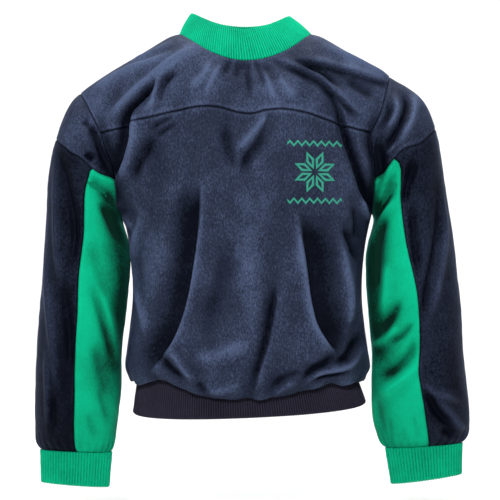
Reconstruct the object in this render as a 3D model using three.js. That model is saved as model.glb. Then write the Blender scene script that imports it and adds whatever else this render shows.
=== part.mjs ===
// A pull-on velour sweater with a high rib neckband, a chest yoke, two-colour sleeves, rib cuffs and a rib
// waistband that the body blouses over. It is hollow, filled out as worn, with both sleeves hanging down.
// Millimetres. +X is to the viewer's right, -Y is the front, +Z is up. The origin is the middle of the neck
// opening, level with the top of the shoulders.
import * as THREE from "three";

// Cloth and seams
const CLOTH = 1.8; // thickness of the velour
const RIB_CLOTH = 2.4; // thickness of the doubled rib
const RIB_RISE = 0.7; // how far a rib stands up
const SEAM = 0.34; // space left between two pieces that are sewn together

// Driving sizes of the body
const UNDERARM = { x: 198, z: -283 };
const SHOULDER_X = { left: 265, right: 226 };
const ARMHOLE_DEPTH = { front: 72, back: 66 };
const NECK = { half: 103.5, middle: -10, front: 86, back: 60, roundness: 2.2 };
const FULLNESS = 2.5; // exponent of the curve from the underarm level over to the shoulder
const CHEST = { front: 136, back: 128 };
const SQUARENESS = 2.35; // exponent of the body's oval sections
const WAIST_SEAM_Z = -533.3;

// The body from the waist seam up to the underarm: over the band's edge, down inside the blouse and up
// outside it. Each row lies higher by its lift at the side seams.
const BODY_ROWS = [
  { z: -533.3, lift: 0, half: 170.5, front: 105, back: 102.5 },
  { z: -533.3, lift: 0, half: 175.5, front: 110, back: 107 },
  { z: -542, lift: 2, half: 178.5, front: 113, back: 110 },
  { z: -556, lift: 8, half: 182.5, front: 120, back: 114 },
  { z: -563, lift: 12, half: 186, front: 129, back: 119 },
  { z: -553, lift: 12, half: 190, front: 138, back: 125 },
  { z: -528, lift: 5, half: 195, front: 143, back: 128.5 },
  { z: -496, lift: 0, half: 192, front: 142, back: 129 },
  { z: -458, lift: 0, half: 187, front: 138, back: 127 },
  { z: -416, lift: 0, half: 183, front: 134, back: 125 },
  { z: -370, lift: 0, half: 184, front: 133, back: 125 },
  { z: -325, lift: 0, half: 189, front: 134, back: 126 },
  { z: UNDERARM.z, lift: 0, half: UNDERARM.x, front: CHEST.front, back: CHEST.back },
];

// The top of the shoulder, from the neck outwards
const SHOULDER_LINE = [
  { x: 0, z: 4 },
  { x: 60, z: 4 },
  { x: 100, z: 3 },
  { x: 118, z: -1 },
  { x: 135, z: -10 },
  { x: 160, z: -25 },
  { x: 214, z: -56 },
  { x: 250, z: -79 },
  { x: 265, z: -90 },
];

// Armhole edges: sideways reach at each height share, from the underarm to the shoulder
const ARMHOLE_EDGES = {
  left: [
    { height: 0, front: 198, back: 198 },
    { height: 0.1, front: 204, back: 199 },
    { height: 0.3, front: 206, back: 203 },
    { height: 0.42, front: 211, back: 209 },
    { height: 0.53, front: 220, back: 216 },
    { height: 0.65, front: 228, back: 226 },
    { height: 0.8, front: 242, back: 241 },
    { height: 1, front: 265, back: 265 },
  ],
  right: [
    { height: 0, front: 198, back: 198 },
    { height: 0.2, front: 197.5, back: 200 },
    { height: 0.35, front: 195.5, back: 202 },
    { height: 0.5, front: 191, back: 206 },
    { height: 0.57, front: 191.5, back: 208 },
    { height: 0.7, front: 205, back: 213 },
    { height: 0.85, front: 216, back: 219 },
    { height: 1, front: 226, back: 226 },
  ],
};

// The seam between the yoke and the front panel, by share of the way to the armhole
const YOKE_SEAM = [
  { share: -1, z: -158 },
  { share: -0.88, z: -151 },
  { share: -0.8, z: -142 },
  { share: -0.6, z: -132.5 },
  { share: -0.35, z: -121.5 },
  { share: -0.2, z: -122 },
  { share: -0.08, z: -129.5 },
  { share: 0.03, z: -132.5 },
  { share: 0.14, z: -127.5 },
  { share: 0.26, z: -125.5 },
  { share: 0.42, z: -130 },
  { share: 0.56, z: -138.5 },
  { share: 0.8, z: -152.5 },
  { share: 1, z: -158 },
];

// How far the whole garment leans sideways at each height
const LEAN = [
  { z: -600, x: 4 },
  { z: -535, x: 0 },
  { z: -150, x: 0 },
  { z: 0, x: -3.5 },
  { z: 60, x: -10 },
];

// Sleeve sections: outer and inner edge as seen from the front, and half depth to the front and the back
const SLEEVE_LEFT = [
  { xo: 282, zo: -107, xi: 200.5, zi: -287, front: 76, back: 70, y: -3 },
  { xo: 299.5, zo: -145, xi: 201, zi: -293, front: 74, back: 68, y: -4 },
  { xo: 311, zo: -190, xi: 200.5, zi: -303, front: 72, back: 66, y: -5 },
  { xo: 317, zo: -240, xi: 196, zi: -322, front: 70, back: 64, y: -6 },
  { xo: 319.5, zo: -300, xi: 190, zi: -352, front: 67, back: 62, y: -7 },
  { xo: 324, zo: -365, xi: 188, zi: -395, front: 64, back: 60, y: -9 },
  { xo: 328.5, zo: -430, xi: 192.5, zi: -442, front: 62, back: 57, y: -11 },
  { xo: 334, zo: -495, xi: 199, zi: -500, front: 59, back: 54, y: -13 },
  { xo: 336.5, zo: -555, xi: 199.5, zi: -558, front: 54, back: 50, y: -15 },
  { xo: 336.5, zo: -608, xi: 206, zi: -611, front: 45, back: 42, y: -16 },
  { xo: 335, zo: -640, xi: 210.5, zi: -645, front: 33, back: 31, y: -17 },
  { xo: 326.5, zo: -655, xi: 217, zi: -659, front: 19, back: 19, y: -17 },
];
const SLEEVE_RIGHT = [
  { xo: 250, zo: -78, xi: 199.5, zi: -285, front: 77, back: 70, y: -3 },
  { xo: 279, zo: -104, xi: 200.5, zi: -288, front: 76, back: 70, y: -3 },
  { xo: 297.5, zo: -142, xi: 201, zi: -293, front: 74, back: 68, y: -4 },
  { xo: 308, zo: -188, xi: 200.5, zi: -303, front: 72, back: 66, y: -5 },
  { xo: 315.5, zo: -240, xi: 197, zi: -322, front: 70, back: 64, y: -6 },
  { xo: 323.5, zo: -300, xi: 190, zi: -352, front: 68, back: 63, y: -7 },
  { xo: 332, zo: -365, xi: 188, zi: -395, front: 66, back: 61, y: -9 },
  { xo: 339, zo: -430, xi: 190.5, zi: -442, front: 64, back: 58, y: -11 },
  { xo: 342.5, zo: -495, xi: 197.5, zi: -500, front: 61, back: 55, y: -13 },
  { xo: 348, zo: -550, xi: 197, zi: -556, front: 56, back: 51, y: -15 },
  { xo: 352.5, zo: -598, xi: 199, zi: -606, front: 46, back: 43, y: -16 },
  { xo: 350, zo: -630, xi: 209, zi: -640, front: 33, back: 31, y: -17 },
  { xo: 339, zo: -644.5, xi: 221, zi: -652, front: 19, back: 19, y: -17 },
];
const SLEEVE_SQUARENESS = 2.15;

// Where the sleeve's upper piece ends, in sleeve sections, for each of its columns from the outer edge to
// the point of the under-sleeve (column 6) and on to the armhole
const CAP_ENDS = [
  { column: 0, left: 2.45, right: 3.13 },
  { column: 2, left: 2.35, right: 3.02 },
  { column: 3, left: 2.25, right: 2.9 },
  { column: 4, left: 2.1, right: 2.65 },
  { column: 5, left: 1.75, right: 2.1 },
  { column: 6, left: 1.25, right: 1.3 },
  { column: 7, left: 0.7, right: 0.75 },
  { column: 8, left: 0, right: 0 },
];

// The seam between the two colours, in degrees round from the outer edge, at each sleeve section
const COLOUR_SEAM = {
  left: [
    { row: 1.25, angle: 97 },
    { row: 2.1, angle: 91 },
    { row: 4.8, angle: 89.5 },
    { row: 6, angle: 86.5 },
    { row: 7.2, angle: 88.5 },
    { row: 12, angle: 92 },
  ],
  right: [
    { row: 1.3, angle: 97 },
    { row: 2.1, angle: 96 },
    { row: 3.3, angle: 105 },
    { row: 4.2, angle: 105 },
    { row: 6, angle: 97 },
    { row: 7.2, angle: 90.5 },
    { row: 8.3, angle: 90 },
    { row: 9.5, angle: 94 },
    { row: 10.5, angle: 90 },
    { row: 13, angle: 86 },
  ],
};

// Rib pieces
const COLLAR_TOP = {
  half: 78,
  middleX: -4.5,
  y: -16.5,
  depth: 61.5,
  squareness: 1.8,
  frontZ: 1.5,
  sideZ: 32.5,
  backZ: 24,
  tilt: -0.03,
};
const COLLAR_RIBS_PER_STEP = 6;
const BAND_RIBS = 260;
const BAND_TOP = { half: 172.5, front: 107, back: 104.5 };
const BAND_BOTTOM = { half: 185, front: 118, back: 112, z: -586.5, tilt: 0.044, dip: 6 };
const CUFF_RIBS = 56;
const CUFF_DEPTH = 20.5;
const CUFFS = {
  left: { xo: 328, xi: 215.5, bottom: { xo: 327, zo: -705, xi: 220, zi: -713, depth: 20 } },
  right: { xo: 340.5, xi: 219.5, bottom: { xo: 339, zo: -692.5, xi: 228.5, zi: -708, depth: 21 } },
};

// The largest folds: a path in the front view, its half width, and how far the cloth stands out (or in)
const FRONT_FOLDS = [
  {
    path: [[-118, -62], [-150, -94], [-180, -124], [-189, -155], [-187, -182], [-197, -216]],
    width: 17,
    rise: -16,
  },
  { path: [[-150, -106], [-168, -145], [-170, -180], [-184, -225]], width: 17, rise: 7 },
  {
    path: [[96, -62], [126, -99], [150, -148], [164, -183], [180, -226], [190, -258]],
    width: 18,
    rise: -13,
  },
  { path: [[60, -58], [128, -78], [157, -104], [184, -128]], width: 18, rise: 7 },
  { path: [[-76, -240], [-80, -330], [-100, -440], [-150, -530]], width: 24, rise: 11 },
  { path: [[-116, -270], [-124, -370], [-140, -500]], width: 24, rise: -12 },
  { path: [[84, -300], [92, -400], [110, -460], [140, -490]], width: 24, rise: 10 },
  { path: [[76, -260], [104, -320], [124, -400], [134, -450]], width: 22, rise: -10 },
  { path: [[44, -380], [42, -430], [22, -520], [12, -560]], width: 20, rise: -12 },
  { path: [[66, -390], [66, -450], [54, -530]], width: 22, rise: 7 },
  { path: [[140, -290], [150, -380], [142, -440]], width: 18, rise: 7 },
  { path: [[112, -548], [146, -512], [172, -470]], width: 18, rise: -12 },
  { path: [[-135, -562], [-122, -535], [-112, -515]], width: 18, rise: -13 },
  { path: [[26, -128], [14, -160], [-4, -185]], width: 18, rise: 6 },
  { path: [[-4, -70], [2, -118]], width: 16, rise: -5 },
];
const BACK_FOLDS = [
  { path: [[-110, -60], [-165, -150], [-188, -240]], width: 22, rise: -13 },
  { path: [[106, -60], [168, -156], [186, -240]], width: 22, rise: -13 },
  { path: [[-84, -250], [-92, -360], [-120, -520]], width: 26, rise: 8 },
  { path: [[-130, -300], [-136, -400], [-146, -500]], width: 24, rise: -9 },
  { path: [[90, -240], [104, -380], [136, -520]], width: 26, rise: 8 },
  { path: [[134, -310], [142, -400], [150, -480]], width: 24, rise: -8 },
  { path: [[-20, -360], [-12, -450], [4, -555]], width: 24, rise: -8 },
  { path: [[38, -400], [44, -480], [60, -556]], width: 22, rise: 6 },
  { path: [[-50, -548], [-62, -500], [-66, -460]], width: 20, rise: -6 },
];
// On a sleeve a path is in degrees round from the outer edge and sleeve sections down
const SLEEVE_FOLDS = {
  left: [
    { path: [[70, 0.5], [86, 0.7], [102, 0.9]], width: 16, rise: -8 },
    { path: [[52, 2.6], [46, 6], [40, 10.4]], width: 20, rise: -7 },
    { path: [[100, 2.2], [128, 3.2], [150, 5.5]], width: 18, rise: -11 },
    { path: [[112, 5.2], [130, 8], [142, 10.6]], width: 18, rise: -8 },
    { path: [[236, 3], [228, 6], [220, 9]], width: 22, rise: -8 },
    { path: [[300, 2.8], [306, 6], [312, 10]], width: 22, rise: -7 },
  ],
  right: [
    { path: [[36, 1], [50, 1.35], [66, 1.3], [86, 0.9]], width: 16, rise: -11 },
    { path: [[106, 2.4], [124, 3.4], [150, 4.6]], width: 16, rise: -10 },
    { path: [[104, 4.2], [128, 4.8], [150, 6]], width: 16, rise: 7 },
    { path: [[98, 8.2], [124, 8.6], [146, 9.8]], width: 18, rise: -10 },
    { path: [[36, 3.8], [44, 6.5], [50, 9.2]], width: 20, rise: -6 },
    { path: [[20, 10.4], [44, 11], [62, 10.4]], width: 18, rise: -6 },
    { path: [[234, 4], [226, 7], [218, 10]], width: 22, rise: -8 },
    { path: [[300, 3.8], [308, 7], [312, 11]], width: 22, rise: -7 },
  ],
};

// How finely the pieces are divided
const NECK_STEPS = 6; // panel columns from the middle of the neck to its side
const SIDE_STEPS = 8; // from the neck's side to the side seam
const ARM_STEP = 15; // degrees between points round a sleeve
const ARM_STEPS = 180 / ARM_STEP;
const YOKE_STEP = 7; // the armhole point where the yoke seam ends
const CAP_STEPS = 5;

// Colours
const NAVY = new THREE.MeshStandardMaterial({ color: 0x20283c, roughness: 0.9, metalness: 0 });
const GREEN = new THREE.MeshStandardMaterial({ color: 0x06a578, roughness: 0.85, metalness: 0 });
const GREEN_RIB = new THREE.MeshStandardMaterial({ color: 0x0aa87c, roughness: 0.9, metalness: 0 });
const NAVY_RIB = new THREE.MeshStandardMaterial({ color: 0x211f2d, roughness: 0.95, metalness: 0 });

const rad = THREE.MathUtils.degToRad;
const lerp = THREE.MathUtils.lerp;
const vec = (x, y, z) => new THREE.Vector3(x, y, z);
const smooth = (x, low, high) => THREE.MathUtils.smoothstep(x, low, high);
const power = (x, n) => Math.sign(x) * Math.abs(x) ** n;

// A column of a table at a place between its rows, on a smooth curve through them
function along(table, by, column, value) {
  const last = table.length - 1;
  const slope = (a, b) => (table[b][column] - table[a][column]) / (table[b][by] - table[a][by]);
  const at = THREE.MathUtils.clamp(value, table[0][by], table[last][by]);
  const k = Math.max(table.findIndex((row) => at <= row[by]) - 1, 0);
  const gap = table[k + 1][by] - table[k][by];
  const s = (at - table[k][by]) / gap;
  const enter = slope(Math.max(k - 1, 0), k + 1) * gap;
  const leave = slope(k, Math.min(k + 2, last)) * gap;
  const [from, to] = [table[k][column], table[k + 1][column]];
  const bend = (s - 2) * s * s + s;
  return from + (to - from) * (3 - 2 * s) * s * s + enter * bend + leave * (s - 1) * s * s;
}

// A value at a place between rows, on a smooth curve through them
function curve(get, last, place) {
  const k = Math.min(Math.floor(place), last - 1);
  const s = place - k;
  const [a, b, c, d] = [k - 1, k, k + 1, k + 2].map((i) => get(THREE.MathUtils.clamp(i, 0, last)));
  const bend = (2 * a - 5 * b + 4 * c - d) * s * s + (3 * b - a - 3 * c + d) * s * s * s;
  return 0.5 * (2 * b + (c - a) * s + bend);
}

const leant = (p) => p.setX(p.x + along(LEAN, "z", "x", p.z));

// The body: across runs from -1 at the left side seam to 1 at the right one, and side is -1 for the front
// and 1 for the back. Up to the underarm, row counts BODY_ROWS. Above it, height runs up to 1 at the
// shoulder.
const BODY_LAST = BODY_ROWS.length - 1;
const ovalX = (across) => power(Math.sin((across * Math.PI) / 2), 2 / SQUARENESS);
const ovalY = (across) => Math.abs(Math.cos((across * Math.PI) / 2)) ** (2 / SQUARENESS);
const depthKey = (side) => (side < 0 ? "front" : "back");

function lowerBody(side, across, row) {
  const at = (key) => curve((i) => BODY_ROWS[i][key], BODY_LAST, row);
  const share = ovalX(across);
  const z = at("z") + at("lift") * share ** 4;
  return vec(at("half") * share, side * at(depthKey(side)) * ovalY(across), z);
}

const hand = (sign) => (sign < 0 ? "left" : "right");
// How far across the shoulder the neck reaches
const neckShare = (sign) => NECK.half / SHOULDER_X[hand(sign)];
const topZ = (share) => along(SHOULDER_LINE, "x", "z", Math.abs(share) * SHOULDER_X[hand(share)]);

// The armhole's own shape shows at the panel's edge and smooths out towards the middle
function edgeX(side, share, height) {
  const even = lerp(UNDERARM.x, SHOULDER_X[hand(share)], height ** 2);
  const own = along(ARMHOLE_EDGES[hand(share)], "height", depthKey(side), height);
  return lerp(even, own, share ** 6);
}

function upperBody(side, across, height) {
  const share = ovalX(across);
  const fall = Math.max(0, 1 - height ** FULLNESS) ** (1 / FULLNESS);
  const chest = (CHEST[depthKey(side)] * ovalY(across) - side * NECK.middle) * fall;
  const round = Math.sqrt(Math.max(0, 4 * height * (1 - height)));
  const arm = ARMHOLE_DEPTH[depthKey(side)] * round * share ** 2;
  const edge = -side * NECK.middle * fall;
  const y = NECK.middle + side * (edge + Math.hypot(chest - edge, arm));
  return vec(edgeX(side, share, height) * share, y, lerp(UNDERARM.z, topZ(share), height));
}

// Height of the panel's top edge: 1 along the shoulder seam, less where the neck is cut out
function topHeight(side, across) {
  const share = ovalX(across);
  const part = Math.min(Math.abs(share) / neckShare(share), 1);
  const key = depthKey(side);
  const reach = NECK[key] * (1 - part ** NECK.roundness) ** (1 / FULLNESS);
  const full = CHEST[key] * ovalY(across) - side * NECK.middle;
  return (1 - (reach / full) ** FULLNESS) ** (1 / FULLNESS);
}

// place is a BODY_ROWS row up to the underarm, and from there 1 for each armhole point up to the top edge
const heightOf = (step) => (1 - Math.cos(rad(step * ARM_STEP))) / 2;
const YOKE_HEIGHT = heightOf(YOKE_STEP);

function bodyAt(side, across, place) {
  if (place <= BODY_LAST) return lowerBody(side, across, place);
  const step = Math.min(place - BODY_LAST, ARM_STEPS);
  const share = ovalX(across);
  const seam = (along(YOKE_SEAM, "share", "z", share) - UNDERARM.z) / (topZ(share) - UNDERARM.z);
  const round = heightOf(step);
  if (step <= YOKE_STEP) {
    return upperBody(side, across, seam * lerp(step / YOKE_STEP, round / YOKE_HEIGHT, share ** 4));
  }
  const above = (round - YOKE_HEIGHT) / (1 - YOKE_HEIGHT);
  return upperBody(side, across, lerp(seam, topHeight(side, across), above));
}

// Normal of a surface that is given by two numbers, facing away from the inside
function normalOf(surface, a, b, stepA, stepB, limits) {
  const low = (v, d, l) => Math.max(v - d, l[0]);
  const high = (v, d, l) => Math.min(v + d, l[1]);
  const da = surface(high(a, stepA, limits.a), b).sub(surface(low(a, stepA, limits.a), b));
  const db = surface(a, high(b, stepB, limits.b)).sub(surface(a, low(b, stepB, limits.b)));
  return da.cross(db).normalize();
}

// Folds: each path becomes a line of points on the surface, and cloth near it moves along its own normal
const PATH_POINTS = 14;
function foldLines(folds, surface, locate = vec) {
  return folds.map(({ path, width, rise }) => {
    const flat = new THREE.CatmullRomCurve3(path.map(([a, b]) => locate(a, b, 0)));
    const points = flat.getPoints(PATH_POINTS).map((p) => surface(p.x, p.y));
    return { points, width, rise };
  });
}

function foldRise(lines, point) {
  let total = 0;
  for (const { points, width, rise } of lines) {
    let best = Infinity;
    let where = 0;
    for (let k = 0; k < points.length - 1; k++) {
      const edge = points[k + 1].clone().sub(points[k]);
      const from = point.clone().sub(points[k]);
      const s = THREE.MathUtils.clamp(from.dot(edge) / edge.lengthSq(), 0, 1);
      const away = from.addScaledVector(edge, -s).length();
      if (away < best) {
        best = away;
        where = (k + s) / PATH_POINTS;
      }
    }
    const taper = smooth(Math.min(where, 1 - where), 0, 0.3) * 0.75 + 0.25;
    total += rise * taper * Math.exp(-((best / width) ** 2) * 1.6);
  }
  return total;
}

// The place on a side of the body whose front view is nearest to x, z
function bodyPlaces(side) {
  const known = [];
  for (let place = 4; place <= BODY_LAST + ARM_STEPS; place += 0.5) {
    for (let across = -0.98; across <= 0.98; across += 0.04) {
      known.push({ spot: vec(across, place, 0), p: bodyAt(side, across, place) });
    }
  }
  const off = ({ p }, x, z) => (p.x - x) ** 2 + (p.z - z) ** 2;
  return (x, z) => known.reduce((best, next) => (off(next, x, z) < off(best, x, z) ? next : best)).spot;
}

const BODY_LIMITS = { a: [-1, 1], b: [0, BODY_LAST + ARM_STEPS] };
const bodyLines = (side, folds) => foldLines(folds, (a, b) => bodyAt(side, a, b), bodyPlaces(side));
const LINES = { "-1": bodyLines(-1, FRONT_FOLDS), 1: bodyLines(1, BACK_FOLDS) };
const bodyNormal = (side, surface, across, place) =>
  normalOf(surface, across, place, 0.01, 0.05, BODY_LIMITS).multiplyScalar(-side);

// The body's outer face with its folds, which fade out at the side seams, the waist seam and the top edge
function bodySurface(side) {
  const plain = (across, place) => bodyAt(side, across, place);
  return (across, place) => {
    const p = plain(across, place);
    const fade = smooth(1 - Math.abs(across), 0, 0.14) * smooth(place, 2.5, 5);
    const topFade = smooth(BODY_LAST + ARM_STEPS - place, 0, 3);
    if (fade * topFade > 0) {
      const rise = foldRise(LINES[side], p) * fade * topFade;
      p.addScaledVector(bodyNormal(side, plain, across, place), rise);
    }
    return leant(p);
  };
}
const FRONT = bodySurface(-1);
const BACK = bodySurface(1);
const bodyFace = (side) => (side < 0 ? FRONT : BACK);

// Columns of a body panel: even steps round the neck opening, then even steps to the side seam
function acrossOf(share) {
  return (Math.sign(share) * 2 * Math.asin(Math.abs(share) ** (SQUARENESS / 2))) / Math.PI;
}
function halfColumns(sign) {
  const neck = neckShare(sign);
  const turns = Array.from({ length: NECK_STEPS }, (_, i) => rad(((i + 1) * 90) / NECK_STEPS));
  const round = turns.map((turn) => acrossOf(sign * neck * Math.sin(turn)));
  const last = round[NECK_STEPS - 1];
  const beside = Array.from({ length: SIDE_STEPS }, (_, i) => lerp(last, sign, (i + 1) / SIDE_STEPS));
  return [...round, ...beside];
}
const COLUMNS = [...halfColumns(-1).reverse(), 0, ...halfColumns(1)];

// A sleeve: angle goes round from the outer edge to the front, the inner edge and the back
const SLEEVES = {
  left: { sign: -1, rows: SLEEVE_LEFT, last: SLEEVE_LEFT.length },
  right: { sign: 1, rows: SLEEVE_RIGHT, last: SLEEVE_RIGHT.length },
};

function armhole(sign, angle) {
  const turned = ((angle % 360) + 360) % 360;
  const side = turned <= 180 ? -1 : 1;
  const step = (180 - (turned <= 180 ? turned : 360 - turned)) / ARM_STEP;
  return bodyFace(side)(sign, BODY_LAST + step);
}

function sleeveSection(which, row, angle) {
  const { sign, rows } = SLEEVES[which];
  if (row === 0) return armhole(sign, angle);
  const s = rows[row - 1];
  const c = power(Math.cos(rad(angle)), 2 / SLEEVE_SQUARENESS);
  const d = power(Math.sin(rad(angle)), 2 / SLEEVE_SQUARENESS);
  const x = (s.xo + s.xi) / 2 + (c * (s.xo - s.xi)) / 2;
  const z = (s.zo + s.zi) / 2 + (c * (s.zo - s.zi)) / 2;
  return vec(sign * x, s.y - d * (d > 0 ? s.front : s.back), z);
}

function sleevePlain(which, angle, row) {
  const value = (axis) => curve((k) => sleeveSection(which, k, angle)[axis], SLEEVES[which].last, row);
  return vec(value("x"), value("y"), value("z"));
}

function sleeveNormal(which, surface, angle, row) {
  const { sign, last } = SLEEVES[which];
  return normalOf(surface, angle, row, 2, 0.04, { a: [-720, 720], b: [0, last] }).multiplyScalar(sign);
}

function sleeveSurface(which) {
  const plain = (angle, row) => sleevePlain(which, angle, row);
  const lines = foldLines(SLEEVE_FOLDS[which], plain);
  return (angle, row) => {
    const p = plain(angle, row);
    const fade = smooth(row, 0, 0.8) * smooth(SLEEVES[which].last - row, 0.6, 2);
    if (fade > 0) p.addScaledVector(sleeveNormal(which, plain, angle, row), foldRise(lines, p) * fade);
    return p;
  };
}
const SLEEVE_FACES = { left: sleeveSurface("left"), right: sleeveSurface("right") };

// Column i of a sleeve lies every 15 degrees, moved so that column 6 follows the two-colour seam
function columnAngle(which, i, row) {
  const turn = Math.floor(i / 24);
  const k = i - 24 * turn;
  const mirrored = k > 12 ? 24 - k : k;
  const hat = mirrored < 6 ? mirrored / 6 : (12 - mirrored) / 6;
  const seam = along(COLOUR_SEAM[which], "row", "angle", row);
  const angle = mirrored * ARM_STEP + (seam - 90) * hat * smooth(row, 0, 1.2);
  return 360 * turn + (k > 12 ? 360 - angle : angle);
}

// Common normal of the two cloths that meet at a seam, so that their edges stay parallel
function armholeNormal(sign, angle) {
  const turned = ((angle % 360) + 360) % 360;
  const side = turned <= 180 ? -1 : 1;
  const place = BODY_LAST + (180 - (turned <= 180 ? turned : 360 - turned)) / ARM_STEP;
  const body = bodyNormal(side, bodyFace(side), sign, Math.min(place, BODY_LAST + ARM_STEPS - 0.2));
  const which = hand(sign);
  const sleeve = sleeveNormal(which, SLEEVE_FACES[which], angle, 0.05);
  const around = vec(0, -Math.sin(rad(angle)), Math.cos(rad(angle)));
  return body.add(sleeve).add(around).normalize();
}

const shoulderNormal = (across) => vec(0.5 * Math.sign(across), 0, 1).normalize();

// The collar: turn is 0 at the middle of the front and goes round by the viewer's right
const NECK_POINTS = 4 * NECK_STEPS;
function neckPoint(k) {
  const turn = (((k % NECK_POINTS) + NECK_POINTS) % NECK_POINTS) * (360 / NECK_POINTS);
  const side = turn <= 90 || turn >= 270 ? -1 : 1;
  const reach = Math.sin(rad(turn));
  return bodyFace(side)(acrossOf(reach * neckShare(reach)), BODY_LAST + ARM_STEPS);
}

function collarTop(turn) {
  const c = Math.cos(rad(turn));
  const s = Math.sin(rad(turn));
  const end = c > 0 ? COLLAR_TOP.frontZ : COLLAR_TOP.backZ;
  const n = 2 / COLLAR_TOP.squareness;
  const x = COLLAR_TOP.half * power(s, n);
  const z = lerp(COLLAR_TOP.sideZ, end, c * c) + COLLAR_TOP.tilt * x;
  return leant(vec(x + COLLAR_TOP.middleX, COLLAR_TOP.y - COLLAR_TOP.depth * power(c, n), z));
}

function collarFace(turn, height) {
  const k = Math.floor(turn / ARM_STEP);
  const base = neckPoint(k).lerp(neckPoint(k + 1), turn / ARM_STEP - k);
  return base.clone().lerp(collarTop(turn), height);
}

function neckNormal(turn) {
  const out = vec(Math.sin(rad(turn)), -Math.cos(rad(turn)), 0);
  return out.add(vec(0, 0, 0.75)).normalize();
}

// A wall from a grid of outer points with their normals. Edges named in seams draw back by half a seam.
function clothWall(grid, thickness, seams, inwards = {}) {
  const rows = grid.length;
  const cols = grid[0].length;
  const outer = [];
  const inner = [];
  const aside = (j, i, tangent, towards) => {
    const d = tangent.clone().cross(grid[j][i].n).normalize();
    return d.multiplyScalar(Math.sign(d.dot(towards)) || 1);
  };
  const between = (a, b) => b.p.clone().sub(a.p);
  for (let j = 0; j < rows; j++) {
    for (let i = 0; i < cols; i++) {
      const here = grid[j][i];
      const ways = [];
      const alongRow = between(grid[j][Math.max(i - 1, 0)], grid[j][Math.min(i + 1, cols - 1)]);
      const alongCol = between(grid[Math.max(j - 1, 0)][i], grid[Math.min(j + 1, rows - 1)][i]);
      const up = j === 0 ? 1 : -1;
      const sideways = i === 0 ? 1 : -1;
      if ((j === 0 && seams.first) || (j === rows - 1 && seams.last)) {
        ways.push(aside(j, i, alongRow, (j === 0 && inwards.first) || between(here, grid[j + up][i])));
      }
      if ((i === 0 && seams.left) || (i === cols - 1 && seams.right)) {
        const towards = between(here, grid[j][i + sideways]);
        ways.push(alongCol.length() < 1e-6 ? towards.setLength(4) : aside(j, i, alongCol, towards));
      }
      const move = ways.reduce((sum, way) => sum.add(way), vec(0, 0, 0));
      const mitre = ways.length === 2 ? 1 + Math.max(ways[0].dot(ways[1]), -0.5) : 1;
      move.multiplyScalar(SEAM / 2 / mitre);
      outer.push(here.p.clone().add(move));
      inner.push(here.p.clone().add(move).addScaledVector(here.n, -thickness));
    }
  }
  for (const i of [0, cols - 1]) {
    if (between(grid[0][i], grid[rows - 1][i]).length() > 1e-6) continue;
    for (const points of [outer, inner]) {
      for (let j = 1; j < rows; j++) points[j * cols + i].copy(points[i]);
    }
  }
  const faces = [];
  const quad = (a, b, c, d) => faces.push([a, b, c], [a, c, d]);
  const at = (j, i) => j * cols + i;
  const deep = rows * cols;
  for (let j = 0; j < rows - 1; j++) {
    for (let i = 0; i < cols - 1; i++) {
      quad(at(j, i), at(j, i + 1), at(j + 1, i + 1), at(j + 1, i));
      quad(deep + at(j, i), deep + at(j + 1, i), deep + at(j + 1, i + 1), deep + at(j, i + 1));
    }
    quad(at(j, 0), at(j + 1, 0), deep + at(j + 1, 0), deep + at(j, 0));
    quad(at(j, cols - 1), deep + at(j, cols - 1), deep + at(j + 1, cols - 1), at(j + 1, cols - 1));
  }
  for (let i = 0; i < cols - 1; i++) {
    quad(at(0, i + 1), at(0, i), deep + at(0, i), deep + at(0, i + 1));
    quad(at(rows - 1, i + 1), deep + at(rows - 1, i + 1), deep + at(rows - 1, i), at(rows - 1, i));
  }
  return solid([...outer, ...inner], faces);
}

// A closed geometry from points and faces, turned so that its faces point out
function solid(points, faces) {
  const key = (p) => [p.x, p.y, p.z].map((v) => Math.round(v * 1000)).join();
  const index = new Map();
  const own = points.map((p) => index.get(key(p)) ?? (index.set(key(p), index.size), index.size - 1));
  const joined = faces.map((f) => f.map((v) => own[v]));
  const kept = joined.filter(([a, b, c]) => a !== b && b !== c && a !== c);
  const place = [];
  points.forEach((p, i) => (place[own[i]] ??= p));
  const corner = ([a, b, c]) => place[a].dot(place[b].clone().cross(place[c]));
  const volume = kept.reduce((sum, face) => sum + corner(face), 0);
  const turned = volume < 0 ? kept.map(([a, b, c]) => [a, c, b]) : kept;
  const geometry = new THREE.BufferGeometry();
  const numbers = place.flatMap((p) => [p.x, p.y, p.z]);
  geometry.setAttribute("position", new THREE.Float32BufferAttribute(numbers, 3));
  geometry.setIndex(turned.flat());
  geometry.computeVertexNormals();
  return geometry;
}

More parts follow.
